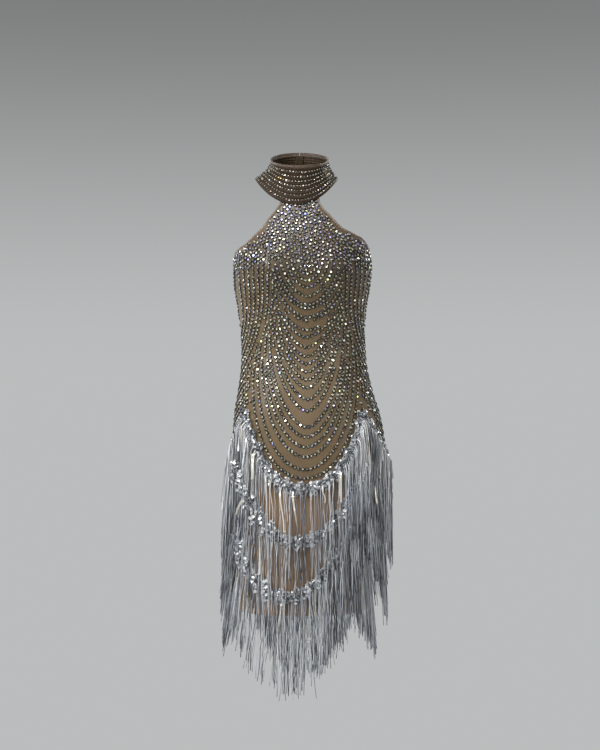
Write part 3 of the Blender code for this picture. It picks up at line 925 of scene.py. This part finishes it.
def back_rows():
    """Swags across the back between its two gathering points, as angles and heights."""
    rows = []
    for number in range(26):
        low = np.array((180.0, -225 - 13.8 * number - 0.05 * number * number))
        start, end = np.array((152.0, -262.0)), np.array((208.0, -262.0))
        if number < 4:
            start, end = start + (-6, 40 - 10 * number), end + (6, 40 - 10 * number)
        share = number / 25
        fall = (low[1] - start[1]) * (0.4 + 0.35 * share)
        out, flat = 22 * share**1.2, (9 + 8 * share, 0)
        left = bezier(start, start + (-out, fall), low - flat, low)
        rows.append(joined(left, bezier(low, low + flat, end + (out, fall), end)))
    return rows


def edge_rows():
    """Rows that follow the back's upper edge."""
    edge = np.array(smooth_edge(BACK_EDGE, 121))
    return [edge - (0, below) for below in (8.5, 17.0, 25.5, 34.0)]


def peak_rows():
    """Rows that follow both sides of the first tier's peaks, just above its band."""
    tier, (left, right) = TIERS[0], BACK_PEAKS
    rows = []
    for offset in (16.0, 27.0):
        for start, end in ((tier.left_peak, left), (right, tier.right_peak + 360), (left, right)):
            angle = np.linspace(start + 3, end - 3, 80)
            z = header_height(tier, angle) + offset
            rows.append(np.stack([signed(angle) if start > 180 else angle, z], -1))
    return rows


def chest_places(random):
    """The closely set crystals of the chest, from the collar down to where the rows part."""
    angle, z = random.uniform(-89, 89, 26000), random.uniform(-225, -50, 26000)
    pixel_x, pixel_y = picture_place(angle, z)
    edge = np.interp(
        pixel_x, (238, 250, 262, 275, 290, 307, 322, 338, 352, 362, 370),
        (262, 262, 257, 259, 262, 267, 261, 257, 257, 262, 266),
    )
    return np.stack([angle, z], -1)[pixel_y < edge + random.normal(0, 4.0, len(edge))]


def between_rows(random):
    """Crystals set without order under the inner side of each bust, where the rows draw together."""
    x, y = random.uniform(256, 350, 6000), random.uniform(256, 324, 6000)
    inner = np.interp(y, (256, 272, 285, 300, 315, 324), (22, 15, 13, 15, 18, 22))
    chosen = (np.abs(x - 307) > inner) & (x > np.interp(y, (256, 324), (257, 268)))
    chosen &= x < np.interp(y, (256, 324), (350, 346))
    return np.stack(seen_at(x[chosen], y[chosen]), -1)


def inside_front(places):
    """Which places lie on the front or back cloth, clear of its bound edges and of the side seams."""
    angle, z = signed(places[:, 0]), places[:, 1]
    inset = BINDING_WIDTH + GAP + STONE_INSET
    front = np.array([row for edge in armhole_edges() for row in moved_inward(edge, inset)])
    back = np.array(back_top())
    limit = np.where(
        np.abs(angle) < SIDE_SEAM, np.interp(angle, *front.T), np.interp(angle % 360, *back.T) - 3.4
    )
    return (z < limit) & (np.abs(np.abs(angle) - SIDE_SEAM) > 0.35)


def above_band(places):
    """Which places lie above the first tier's band of sequins."""
    return places[:, 1] > header_height(TIERS[0], places[:, 0]) + STONE_ABOVE_BAND


def well_spaced(places, least):
    """The places in order, without any that lies too close to one before it."""
    points = on_body(places[:, 0], places[:, 1])
    kept, cells = [], {}
    for number, point in enumerate(points):
        x, y, z = (int(c // least) for c in point)
        near = [
            other for i, j, k in product((-1, 0, 1), repeat=3) for other in cells.get((x + i, y + j, z + k), ())
        ]
        if all(np.sum((points[other] - point) ** 2) >= least * least for other in near):
            kept.append(number)
            cells.setdefault((x, y, z), []).append(number)
    return places[kept]


def evened(places, fixed, pitch):
    """The places, moved apart in small steps until they are evenly spread beside the fixed ones."""
    angle, z = places.T.copy()
    near = fixed[(fixed[:, 1] > -290) & (np.abs(signed(fixed[:, 0])) < 95)]
    still = on_body(near[:, 0], near[:, 1])
    own = np.arange(len(places))
    for _ in range(14):
        points = on_body(angle, z)
        apart = points[:, None] - np.concatenate([points, still])[None]
        distance = np.linalg.norm(apart, axis=-1)
        distance[own, own] = pitch
        push = np.clip(pitch - distance, 0, None) * 0.35 / np.maximum(distance, 0.5)
        move = (apart * push[..., None]).sum(axis=1)
        east = one_degree(angle, z)
        angle += (move * east).sum(-1) / (east * east).sum(-1)
        z += move[:, 2]
    return np.stack([angle, z], -1)


# White, cream, green gold, gold, sea green, violet, blue and rose
TINTS = np.array((
    (0.94, 0.91, 0.82), (0.95, 0.92, 0.74), (0.78, 0.82, 0.56), (0.88, 0.76, 0.52),
    (0.66, 0.76, 0.70), (0.70, 0.64, 0.92), (0.50, 0.58, 0.95), (0.92, 0.70, 0.66),
))


def make_stones(name, points, normals, sizes, weights, painted_light_level, glass, random, slot, tilt=7.0):
    """Crystals set on the cloth, joined as one piece. Each is a low dome, with a table in a ring of eight
    facets. Every facet has its own tint: the dark crown facets are partly the foil's own dark and partly painted
    reflection, the bright tables are painted glints, and a few tables give off light as painted glare."""
    template = np.concatenate([octagon(0.25, 0.26), octagon(0.5, 0.05)])
    crown = np.array([[i, i + 8, (i + 1) % 8 + 8, (i + 1) % 8] for i in range(8)])
    frames = frames_at(points, normals, random, tilt)
    placed, groups = scattered(template, [crown, np.arange(8)[None]], points, frames, sizes)
    count = len(points)
    tint = TINTS[[random.choice(len(TINTS), p=weight / weight.sum()) for weight in weights]]
    # Painted glints: how light each crystal's table is, at random
    painted_glint = painted_light_level * random.choice((0.42, 0.68, 0.95, 1.2), count, p=(0.18, 0.32, 0.32, 0.18))
    # The crown facets' darkness: partly the foil's own dark, partly painted reflection of dark surroundings
    shade = random.choice((0.008, 0.03, 0.1, 0.4), (count, 8), p=(0.5, 0.28, 0.16, 0.06))
    crowns = tint[random.permutation(count)][:, None] * (shade * painted_light_level[:, None])[..., None]
    # Painted glare: a few tables are made to give off light, in their full hue
    painted_glare = np.where(random.random(count) < 0.035, random.uniform(0.3, 1.0, count), 0.0)
    hue = tint**2.2 / (tint**2.2).max(axis=1, keepdims=True)
    tables = np.where(painted_glare[:, None] > 0, hue, np.clip(tint * painted_glint[:, None], 0, 1))
    facets = np.concatenate([crowns.reshape(-1, 3), tables])
    tints = np.column_stack([facets, np.concatenate([np.zeros(count * 8), painted_glare])])
    return mesh_from(name, placed, groups, glass, slot, tints=tints, smooth=False)


def body_stones(glass):
    """All crystals on the front and back cloth."""
    random = np.random.default_rng(11)
    lines = [np.stack(seen_at(row[:, 0], row[:, 1]), -1) for row in lower_rows() + upper_rows()]
    lines += side_rows(-1) + side_rows(1) + back_rows() + peak_rows() + edge_rows()
    rows = np.concatenate([row_places(line, random) for line in lines])
    rows = well_spaced(rows[inside_front(rows) & above_band(rows)], ROWS_APART)
    in_rows = len(rows)
    rows = well_spaced(np.concatenate([rows, between_rows(random)]), LOOSE_APART)
    chest = chest_places(random)
    chest = well_spaced(np.concatenate([rows, chest[inside_front(chest)]]), CHEST_APART)[len(rows):]
    chest = evened(chest, rows, CHEST_PITCH)
    places = np.concatenate([rows, chest[inside_front(chest)]])
    across = np.full(len(places), STONE)
    across[in_rows:] = LOOSE_STONE
    across[len(rows):] = CHEST_STONE
    angle = signed(places[:, 0])
    in_front = np.abs(angle) < SIDE_SEAM
    for name, chosen in (("front_crystals", in_front), ("back_crystals", ~in_front)):
        a, z = angle[chosen], places[chosen, 1]
        sizes = across[chosen] * random.uniform(0.92, 1.0, len(a))
        chest = np.clip((z + 220) / 70, 0, 1)
        weights = np.tile((3.0, 2.0, 1.6, 1.0, 1.4, 0.5, 0.3, 0.4), (len(a), 1))
        weights[:, 2] += 1.2 * (1 - chest)
        weights[:, 5] += 5.0 * chest
        weights[:, 6] += 2.6 * chest
        # Painted light on the crystals: a pool of light below the wearer's right bust, and painted shade in the
        # middle under the busts; those on the chest are a little lighter
        bright = 0.74 + 0.45 * np.exp(-(((a + 24) / 14) ** 2) - ((z + 320) / 80) ** 2)
        bright += 0.1 * chest
        bright -= 0.2 * np.exp(-((a / 24) ** 2) - ((z + 255) / 45) ** 2)
        points, normals = line_on_cloth(a, z, STONE_LIFT)
        make_stones(name, points, normals, sizes, weights, bright, glass, random, "nude_mesh", 10.0)


def collar_stones(glass):
    """Rows of small crystals on the collar's rolls."""
    random = np.random.default_rng(12)
    fine = np.linspace(-176, 176, 700)
    points, normals = [], []

    def rolled(angle, share):
        return collar_point(angle, share, collar_fold(angle, share))

    for roll in range(1, COLLAR_FOLDS + 1):
        share = 2 * roll / (2 * COLLAR_FOLDS + 1) - 0.028 + 0.006 * np.sin(np.radians(fine * 2 + roll * 50))
        along = lengths(rolled(fine, share))
        count = int(along[-1] / COLLAR_PITCH)
        spots = (np.arange(count) + 0.5) * along[-1] / count + random.uniform(-0.5, 0.5, count)
        angle, at = np.interp(spots, along, fine), np.interp(spots, along, share)
        here = rolled(angle, at)
        normal = facing_out(rolled(angle, at + 0.004) - here, rolled(angle + 0.5, at) - here, angle)
        points.append(here + normal * 1.0)
        normals.append(normal)
    points, normals = np.concatenate(points), np.concatenate(normals)
    count = len(points)
    weights = np.tile((2.4, 2.4, 0.8, 2.0, 0.4, 0.1, 0.1, 0.8), (count, 1))
    return make_stones(
        "collar_crystals", points, normals, random.uniform(4.4, 5.2, count), weights, np.full(count, 0.66),
        glass, random, "brown_mesh",
    )


# ---- Fringe ----

def header_height(tier, angle):
    """The height of a tier's header at angles, with its peaks rounded off."""
    angle = np.asarray(angle, float)
    return sum(header_scallop(tier, angle + step) for step in (-PEAK_ROUNDING, 0.0, PEAK_ROUNDING)) / 3


def header_scallop(tier, angle):
    right, left = tier.right_peak, tier.left_peak
    back_left, back_right = BACK_PEAKS
    scallops = (
        (right, tier.middle, left, tier.low),
        (left, (left + back_left) / 2, back_left, tier.side_low),
        (back_left, 180, back_right, tier.low),
        (back_right, (back_right + right + 360) / 2, right + 360, tier.side_low),
    )
    turn = (angle - right) % 360 + right
    height = np.full(angle.shape, float(tier.peak))
    for start, middle, end, low in scallops:
        share = (turn - middle) / np.where(turn > middle, end - middle, middle - start)
        inside = (turn >= start) & (turn <= end)
        height = np.where(inside, low + (tier.peak - low) * share * share, height)
    return height


def header_steepness(tier, angle):
    """How much longer the header is at angles than the way round the body."""
    step = 2.0
    run = np.linalg.norm(on_body(angle + step, tier.peak) - on_body(angle - step, tier.peak), axis=-1)
    rise = header_height(tier, angle + step) - header_height(tier, angle - step)
    return np.minimum(np.hypot(run, rise) / run, STEEPEST)


def header_line(tier):
    """Angles round a tier's header, and the way along it to each."""
    fine = np.linspace(0, 360, 1441)
    return fine, lengths(on_body(fine, header_height(tier, fine)))


def header_run(tier, count):
    """Angles at even lengths along a tier's header."""
    fine, along = header_line(tier)
    return np.interp((np.arange(count) + 0.5) * along[-1] / count, along, fine)


def ruffle(tier, angle, seed):
    """How far the header puffs up at angles, 0 where it is pinched and 1 between."""
    fine, along = header_line(tier)
    where = np.interp(angle % 360, fine, along) / along[-1] * round(along[-1] / RUFFLE_PITCH)
    wobble = 0.18 * value_noise(where * 0.9, np.full(np.shape(where), float(seed)), seed)
    return np.sin(np.pi * (where + wobble)) ** 2


def climbing(number, angle):
    """How far the lower headers stand out over the fringe at angles, where they climb the wearer's right."""
    return np.interp(signed(angle), (-66, -56, -34, -22), (0, 1, 1, 0)) * (number > 1)


def make_band(tier, number, cloth, random):
    """The sequin header's soft puffed band."""
    stations, sides = 720, 12
    angle = np.arange(stations) * 360 / stations
    puff = ruffle(tier, angle, number)
    half = (HEADER_HEIGHT / 2 - 1.5 + 3.2 * puff) * header_steepness(tier, angle)
    thick = HEADER_THICKNESS - 0.4 + 1.2 * puff + 8.0 * climbing(number, angle) * puff
    z = header_height(tier, angle)
    rows = []
    for t in np.linspace(0, 2 * math.pi, sides, endpoint=False):
        out = HEADER_INNER + thick * (0.5 + 0.5 * math.sin(t))
        out = out + 0.3 * value_noise(angle / 1.7, np.full(stations, t * 2.0), 30 + number)
        rows.append(lifted(angle, z + half * math.cos(t), np.maximum(out, HEADER_INNER - 0.4)))
    points = np.concatenate(rows)
    quads = grid_faces(sides + 1, stations, around=True) % len(points)
    grey = 0.25 + 0.3 * random.random(len(points))
    tints = np.stack([grey * 0.97, grey, grey * 1.06], -1)
    mesh_from(f"sequin_band_{number}", points, [quads], cloth, "silver_fringe", tints=tints)


def make_sequins(tier, number, film, random):
    """Overlapping sequins all over a band. Each is a cupped disc of eight facets with a raised middle. Their tints
    are painted highlights: lighter on the puffs, towards the wearer's right and on the lower bands, with random
    glints.
    """
    count = SEQUINS
    angle = header_run(tier, count) + random.normal(0, 0.6, count)
    puff = ruffle(tier, angle, number)
    wide = np.interp(signed(angle), (-46, -36, -12, 8, 30), (1.0, 1.3, 1.3, 1.12, 1.0))
    half = (HEADER_HEIGHT / 2 - 1.0 + 5.6 * puff) * header_steepness(tier, angle) * wide
    spread = random.uniform(-1, 1, count)
    z = header_height(tier, angle) + half * spread - (3.0 if number == 1 else 0.0)
    out = HEADER_INNER + (HEADER_THICKNESS + 1.2 * puff) * (0.45 + 0.55 * np.sqrt(1 - spread * spread * 0.9))
    climbs = climbing(number, angle)
    proud = climbs * (8.5 * puff + 7.0 * random.random(count))
    proud = proud + (number > 1) * (3.0 + 9.5 * puff) * random.random(count) ** 0.8
    places = lifted(angle, z, out + random.uniform(-0.3, 2.4, count) + proud)
    normals = outward(angle, z)
    normals[:, 2] += spread * 0.7
    template = np.concatenate([[(0, 0, 0)], octagon(0.5, 0.09)])
    faces = [np.array([[0, i + 1, (i + 1) % 8 + 1] for i in range(8)])]
    frames = frames_at(places, normals, random, 32.0)
    sizes = random.uniform(3.6, 5.4, count) + 1.2 * puff + 0.8 * climbs
    placed, groups = scattered(template, faces, places, frames, sizes)
    # Painted light: the sequins are lighter towards the wearer's right and on the puffs, and each gets a random
    # painted glint
    painted_light_by_side = np.interp(signed(angle), (-60, -40, -22, 0, 30, 44), (1.1, 1.25, 1.05, 0.95, 1.0, 1.05))
    light = np.clip((0.5 + 0.85 * puff) * painted_light_by_side + random.normal(0, 0.25, count), 0.15, 1.5)
    light = light * (1.02 if number == 1 else 1.3)
    painted_shine = random.choice((0.05, 0.45, 1.25), count, p=(0.28, 0.3, 0.42)) * light
    tint = np.clip(np.stack([painted_shine * 0.96, painted_shine * 0.99, painted_shine * 1.04], -1), 0, 1)
    tints = np.repeat(tint, len(template), 0)
    mesh_from(f"sequins_{number}", placed, groups, film, "silver_fringe", tints=tints, smooth=False)


def hanging(tier, angle, root_z, share, length, extra, sway):
    """Points of threads that hang from a tier: out over the hips, then straight down."""
    z = root_z[:, None] - length[:, None] * share[None]
    hung_from = np.maximum(z, np.minimum(root_z, HIP_Z)[:, None])
    sine = np.sin(np.radians(angle))[:, None]
    side = np.where(sine > 0, tier.flare_left, tier.flare_right)
    flare = (FRONT_FLARE + (side - FRONT_FLARE) * sine * sine) * share[None] ** 1.3
    start = HEADER_INNER + HEADER_THICKNESS * 0.45
    ease = np.clip(share[None] / 0.075, 0, 1)
    turned = np.broadcast_to(angle[:, None], z.shape)
    points = lifted(turned, hung_from, start + (tier.lift + extra[:, None] - start) * ease + flare)
    points[..., 2] = z
    ahead = one_degree(turned, hung_from)
    ahead[..., 2] = 0
    return points + unit(ahead) * sway[..., None]


# How many of a tier's strands are kept at angles from its middle
KEPT = (
    ((-46, -38, -30, 24, 42, 66, 90, 120), (1.0, 0.6, 0.43, 0.43, 1.0, 0.95, 0.6, 0.9)),
    ((-60, -50, -20, 24, 42, 66, 90, 120), (1.0, 0.5, 0.37, 0.45, 1.0, 0.95, 0.6, 0.9)),
    ((-62, -52, -16, -8, 20, 42), (0.9, 0.4, 0.4, 0.7, 0.7, 0.9)),
)


def make_fringe(tier, number, yarn):
    """A tier's strands: uneven, drawn together in clumps, and waved. Their tints hold painted light: each strand
    is lighter at its top and darker towards its end, and the wide spread of strand shades is partly random tone
    and partly painted shade and highlights.
    """
    random = np.random.default_rng(40 + number)
    angle = header_run(tier, STRANDS)
    angle = angle[random.random(STRANDS) < np.interp(signed(angle - tier.middle), *KEPT[number - 1])]
    count = len(angle)
    angle = angle + random.normal(0, 0.25, count)
    sine = np.sin(np.radians(angle))
    share = np.array((0, 0.03, 0.075, 0.16, 0.26, 0.36, 0.47, 0.58, 0.69, 0.8, 0.9, 1.0))
    root_z = header_height(tier, angle) - HEADER_HEIGHT * 0.15
    uneven = 5 * np.sin(0.31 * np.arange(count)) + random.normal(-8, 11.0, count)
    aside = np.clip((np.abs(sine) - 0.6) / 0.3, 0, 1) * (number < 3)
    length = STRAND_LENGTH + np.clip(uneven, -55, 20) + 52 * random.random(count) ** 2 * aside
    extra = random.uniform(-2.2, 2.6, count) * (1.0 if number < 3 else 0.55)
    extra += random.uniform(0, 4.5, count) * np.clip(-sine, 0, 1) * (number == 2)
    clump = np.cumsum(random.random(count) < 0.3)
    clump -= clump[0]
    clumps = clump.max() + 1
    centre = np.array([angle[clump == c].mean() for c in range(clumps)])[clump]
    per_degree = np.linalg.norm(one_degree(angle, root_z), axis=-1)
    pull = (centre - angle) * per_degree * random.uniform(0.0, 0.45, count)
    drift = random.normal(0, 2.6, count)
    drift = drift + random.choice((0, 1), count, p=(0.88, 0.12)) * random.normal(0, 12, count)
    lean = random.normal(0, 1.6, clumps)[clump]
    waves = sum(
        random.normal(0, amplitude, count)[:, None]
        * np.sin(share[None] * turns * math.pi * 2 + random.uniform(0, 6.28, count)[:, None])
        for amplitude, turns in ((1.7, 0.8), (1.1, 1.7), (0.6, 3.1))
    )
    sway = (
        pull[:, None] * np.sin(np.clip(share[None] * 1.9, 0, 1) * math.pi / 2)
        + (drift + lean)[:, None] * share[None] ** 1.2 + waves * np.clip(share[None] * 4, 0, 1)
    )
    lines = hanging(tier, angle, root_z, share, length, extra, sway)
    lines += random.normal(0, 0.25, lines.shape) * np.clip(share * 3, 0, 1)[None, :, None]
    points, quads = cords(lines, random.uniform(0.4, 0.75, count))
    # Strand shades: partly random tone, partly painted shade between strands and painted highlights
    shade = random.choice((0.1, 0.42, 1.0, 1.6), count, p=(0.22, 0.26, 0.27, 0.25))
    shade = shade * random.uniform(0.8, 1.2, clumps)[clump]
    cool = random.uniform(-0.04, 0.05, count)
    tint = np.stack([shade * (0.94 - cool), shade * 0.98, shade * (1.07 + cool)], -1)
    # Painted light along each strand: lighter at the top, painted shade towards the end
    painted_light_along = np.interp(share, (0, 0.35, 1), (1.32, 1.16, 0.42))
    tint = (tint[:, None] * painted_light_along[None, :, None]).reshape(-1, 3)
    tints = np.clip(np.repeat(tint, 4, 0), 0, 1)
    mesh_from(f"fringe_{number}", points, [quads], yarn, "silver_fringe", tier.name, tints=tints)


def cords(lines, radius):
    """Four-sided cords along lines of points, with closed ends."""
    count, rings = lines.shape[:2]
    turn = np.arange(4) * 2 * math.pi / 4
    ring = np.stack([np.cos(turn), np.sin(turn), np.zeros(4)], -1)
    points = lines[:, :, None] + ring[None, None] * radius[:, None, None, None]
    last = (rings - 1) * 4
    ends = [[0, 1, 2, 3], [last + 3, last + 2, last + 1, last]]
    quads = np.concatenate([grid_faces(rings, 4, around=True), ends])
    return points.reshape(-1, 3), copied(quads, count, rings * 4)


# Where strips show in front: picture place of the top, length, lean to the wearer's left and width
TINSEL_SEEN = (
    ((258, 470, 52, 2, 5.0), (282, 488, 84, 8, 3.0), (293, 492, 96, 14, 3.4), (322, 487, 34, 2, 2.0),
     (338, 480, 60, -1, 3.6), (247, 440, 90, 3, 2.2), (363, 450, 100, 3, 2.0)),
    ((252, 524, 48, -9, 4.6), (264, 530, 100, 4, 3.2), (288, 545, 62, 4, 1.8), (330, 515, 70, -6, 2.4),
     (300, 548, 50, 3, 1.6), (362, 520, 44, 1, 2.8)),
    ((250, 560, 40, 3, 2.4), (283, 596, 50, -4, 1.8), (345, 560, 60, 2, 1.8), (312, 590, 70, 3, 1.6)),
)
TINSEL_PROUD = (3.0, 8.5, 13.0)


def make_tinsel(tier, number, film):
    """Flat bright strips that hang among the strands, those seen in the picture and more behind."""
    random = np.random.default_rng(60 + number)
    x, y, *seen = np.transpose(TINSEL_SEEN[number - 1])
    angle = np.concatenate([seen_at(x, y)[0] % 360, random.uniform(52, 315, 30)])
    count = len(angle)
    share = np.linspace(0, 1, 9)
    root_z = header_height(tier, angle) - random.uniform(2, 8, count)
    length = random.uniform(38, 112, count)
    extra = random.uniform(1.5, 3.6, count)
    lean = random.normal(0, 5.0, count)
    length[: len(x)], lean[: len(x)] = seen[:2]
    extra[: len(x)] = TINSEL_PROUD[number - 1]
    sway = lean[:, None] * share[None] ** 1.2 + random.normal(0, 1.2, count)[:, None] * np.sin(share[None] * 6)
    middle = hanging(tier, angle, root_z, share, length, extra, sway)
    twist = random.uniform(-0.7, 0.7, count)[:, None] + random.normal(0, 0.9, count)[:, None] * share[None]
    turn = np.radians(angle)[:, None] + twist
    across = np.stack([np.cos(turn), np.sin(turn), np.zeros(turn.shape)], -1)
    width = random.uniform(1.4, 2.6, count)
    width[: len(x)] = seen[2]
    half = across * width[:, None, None] / 2
    edges = np.stack([middle - half, middle + half], 2)
    # Painted highlights: how light each strip is, the seen ones lightest
    painted_shine = random.choice((0.55, 0.8, 1.0), count, p=(0.3, 0.3, 0.4))
    painted_shine[: len(x)] = 1.0
    warm = np.where(np.arange(count) < len(x), 0.9, 1.0)
    tint = np.stack([painted_shine, painted_shine * (0.45 + 0.55 * warm), painted_shine * warm * warm], -1)
    size = len(share) * 2
    quads = copied(grid_faces(len(share), 2), count, size)
    tints = np.repeat(tint, size, 0)
    mesh_from(f"tinsel_{number}", edges.reshape(-1, 3), [quads], film, "silver_fringe", tints=tints)


# ---- Stage ----

def make_stage(finish):
    """A round pale floor."""
    turn = np.linspace(0, 2 * math.pi, 96, endpoint=False)
    points = np.stack([np.cos(turn), np.sin(turn), np.zeros(96)], -1) * FLOOR_RADIUS + (0, 0, FLOOR_Z)
    mesh = bpy.data.meshes.new("floor")
    mesh.from_pydata((points * MM).tolist(), [], [list(range(96))])
    floor = bpy.data.objects.new("floor", mesh)
    floor.data.materials.append(finish)
    bpy.context.scene.collection.objects.link(floor)


def make_surroundings():
    """A pale studio: brighter behind the dress, and darker towards the ceiling."""
    world = bpy.data.worlds.new("studio")
    bpy.context.scene.world = world
    world.use_nodes = True
    sky = Nodes(world.node_tree)
    _, y, z = sky.parts(sky.node("TexCoord").outputs["Generated"])
    behind = sky.spread(y, -0.6, 0.8, 0.25, 0.51, interpolation_type="SMOOTHSTEP")
    height = sky.spread(z, 0.0, 0.26, 1.0, 0.38, interpolation_type="SMOOTHSTEP")
    background = sky.tree.nodes["Background"]
    sky.put((0.97, 1.0, 1.0), background.inputs["Color"])
    sky.put(sky.math("MULTIPLY", behind, height), background.inputs["Strength"])


def area_light(name, place, aim_z, size, power, colour=(1.0, 1.0, 1.0)):
    light = bpy.data.lights.new(name, "AREA")
    light.shape = "RECTANGLE"
    light.size, light.size_y = size
    light.energy = power
    light.color = colour
    holder = bpy.data.objects.new(name, light)
    holder.location = place
    holder.rotation_euler = (Vector((0, 0, aim_z)) - Vector(place)).to_track_quat("-Z", "Y").to_euler()
    bpy.context.scene.collection.objects.link(holder)


def make_lights():
    area_light("ceiling", (-0.5, -1.3, 2.3), -0.4, (1.6, 1.2), 52, (1.0, 1.0, 0.98))
    area_light("front_left", (-2.2, -1.9, 0.9), -0.55, (0.8, 0.8), 49, (0.98, 0.99, 1.0))
    area_light("front_right", (2.1, -2.3, 0.2), -0.5, (1.1, 1.4), 8, (0.97, 0.99, 1.0))
    area_light("behind_left", (1.9, 1.9, 1.1), -0.5, (1.2, 1.2), 26)
    area_light("behind_right", (-2.0, 1.7, 0.7), -0.5, (1.2, 1.2), 18)
    glints = (
        (-0.9, -2.6, 1.5), (0.5, -2.8, 1.3), (1.6, -1.9, 1.5),
        (-1.6, -1.6, 1.2), (0.1, -3.1, 0.5), (-0.4, -3.0, -0.1),
    )
    for i, place in enumerate(glints):
        area_light(f"glint_{i}", place, -0.35, (0.09, 0.09), 2.6)
    bpy.context.scene.view_settings.view_transform = "Standard"


def make_camera():
    data = bpy.data.cameras.new("view")
    data.lens = LENS
    data.sensor_width = 36.0
    camera = bpy.data.objects.new("view", data)
    camera.location = tuple(c * MM for c in CAMERA)
    camera.rotation_euler = (math.radians(90), 0, 0)
    bpy.context.scene.collection.objects.link(camera)
    bpy.context.scene.camera = camera


def main():
    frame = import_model()
    make_camera()

    nude = mesh_cloth("nude_net", (0.107, 0.069, 0.0325), (0.239, 0.160, 0.0785), 0.06, 0.8)
    brown = mesh_cloth("brown_net", (0.031, 0.0165, 0.0063), (0.093, 0.0515, 0.0207), 0.03, 0.0)
    tan_edge = binding_cloth("tan_elastic", (0.11, 0.08, 0.055), (0.27, 0.2, 0.145))
    brown_edge = binding_cloth("brown_elastic", (0.054, 0.033, 0.02), (0.14, 0.09, 0.056))
    glass = crystal_glass("crystal")
    film = sequin_foil("sequin_film")
    yarn = fringe_yarn("rayon_yarn")
    tan_thread = stitching_thread("tan_thread", (0.36, 0.27, 0.19))
    brown_thread = stitching_thread("brown_thread", (0.17, 0.12, 0.09))
    metal = plated_metal("nickel")

    layout = fan_layout(front_top(), first_level=-182.0, columns=150, upper_rows=26, lower_rows=130)
    front = cloth_panel("front_cloth", "front_panel", layout, nude)
    layout = fan_layout(back_top(), first_level=-200.0, columns=120, upper_rows=6, lower_rows=124)
    back = cloth_panel("back_cloth", "back_panel", layout, nude)
    right, left = armhole_edges()
    for name, node, edge in (
        ("armhole_edge_right", "armhole_binding_right", right),
        ("armhole_edge_left", "armhole_binding_left", left),
        ("back_edge", "back_binding", smooth_edge(BACK_EDGE, 73)),
    ):
        upper = np.array(clear_of_seams(edge))
        lower = np.array(clear_of_seams(moved_inward(edge, BINDING_WIDTH)))
        rounded_strip(name, node, upper, lower, tan_edge)
        line = line_on_cloth(*(upper * 0.2 + lower * 0.8).T, STITCH_LIFT)
        stitches(name + "_stitches", [line], tan_thread, **EDGE_STITCH)
    hem_front = stitches("hem_stitches_front", hem_lines(-89.5, 89.5), tan_thread)
    hem_back = stitches("hem_stitches_back", hem_lines(90.5, 269.5), tan_thread)
    seams = stitches("side_seam_stitches", seam_lines(-1) + seam_lines(1), tan_thread, **SEAM_STITCH)

    collar = make_collar(brown)
    collar_edge = make_collar_binding(brown_edge)
    underlap = make_underlap(brown)
    _, crest, out = collar_crest(176, 500)
    line = crest + out * 1.2 + (0, 0, GAP + 0.72 * COLLAR_BINDING_WIDTH)
    collar_thread = stitches("collar_stitches", [(line, out)], brown_thread, **EDGE_STITCH)

    body_stones(glass)
    stones = collar_stones(glass)
    for number, tier in enumerate(TIERS, 1):
        random = np.random.default_rng(20 + number)
        make_band(tier, number, yarn, random)
        make_sequins(tier, number, film, random)
        make_fringe(tier, number, yarn)
        make_tinsel(tier, number, film)

    for name in ("collar_hook_1", "collar_hook_2"):
        materials = frame["nodes"][name].data.materials
        materials.clear()
        materials.append(metal)

    make_stage(plaster("pale_plaster", (0.564, 0.5828, 0.5875), (0.6, 0.62, 0.625)))
    make_surroundings()
    make_lights()


main()
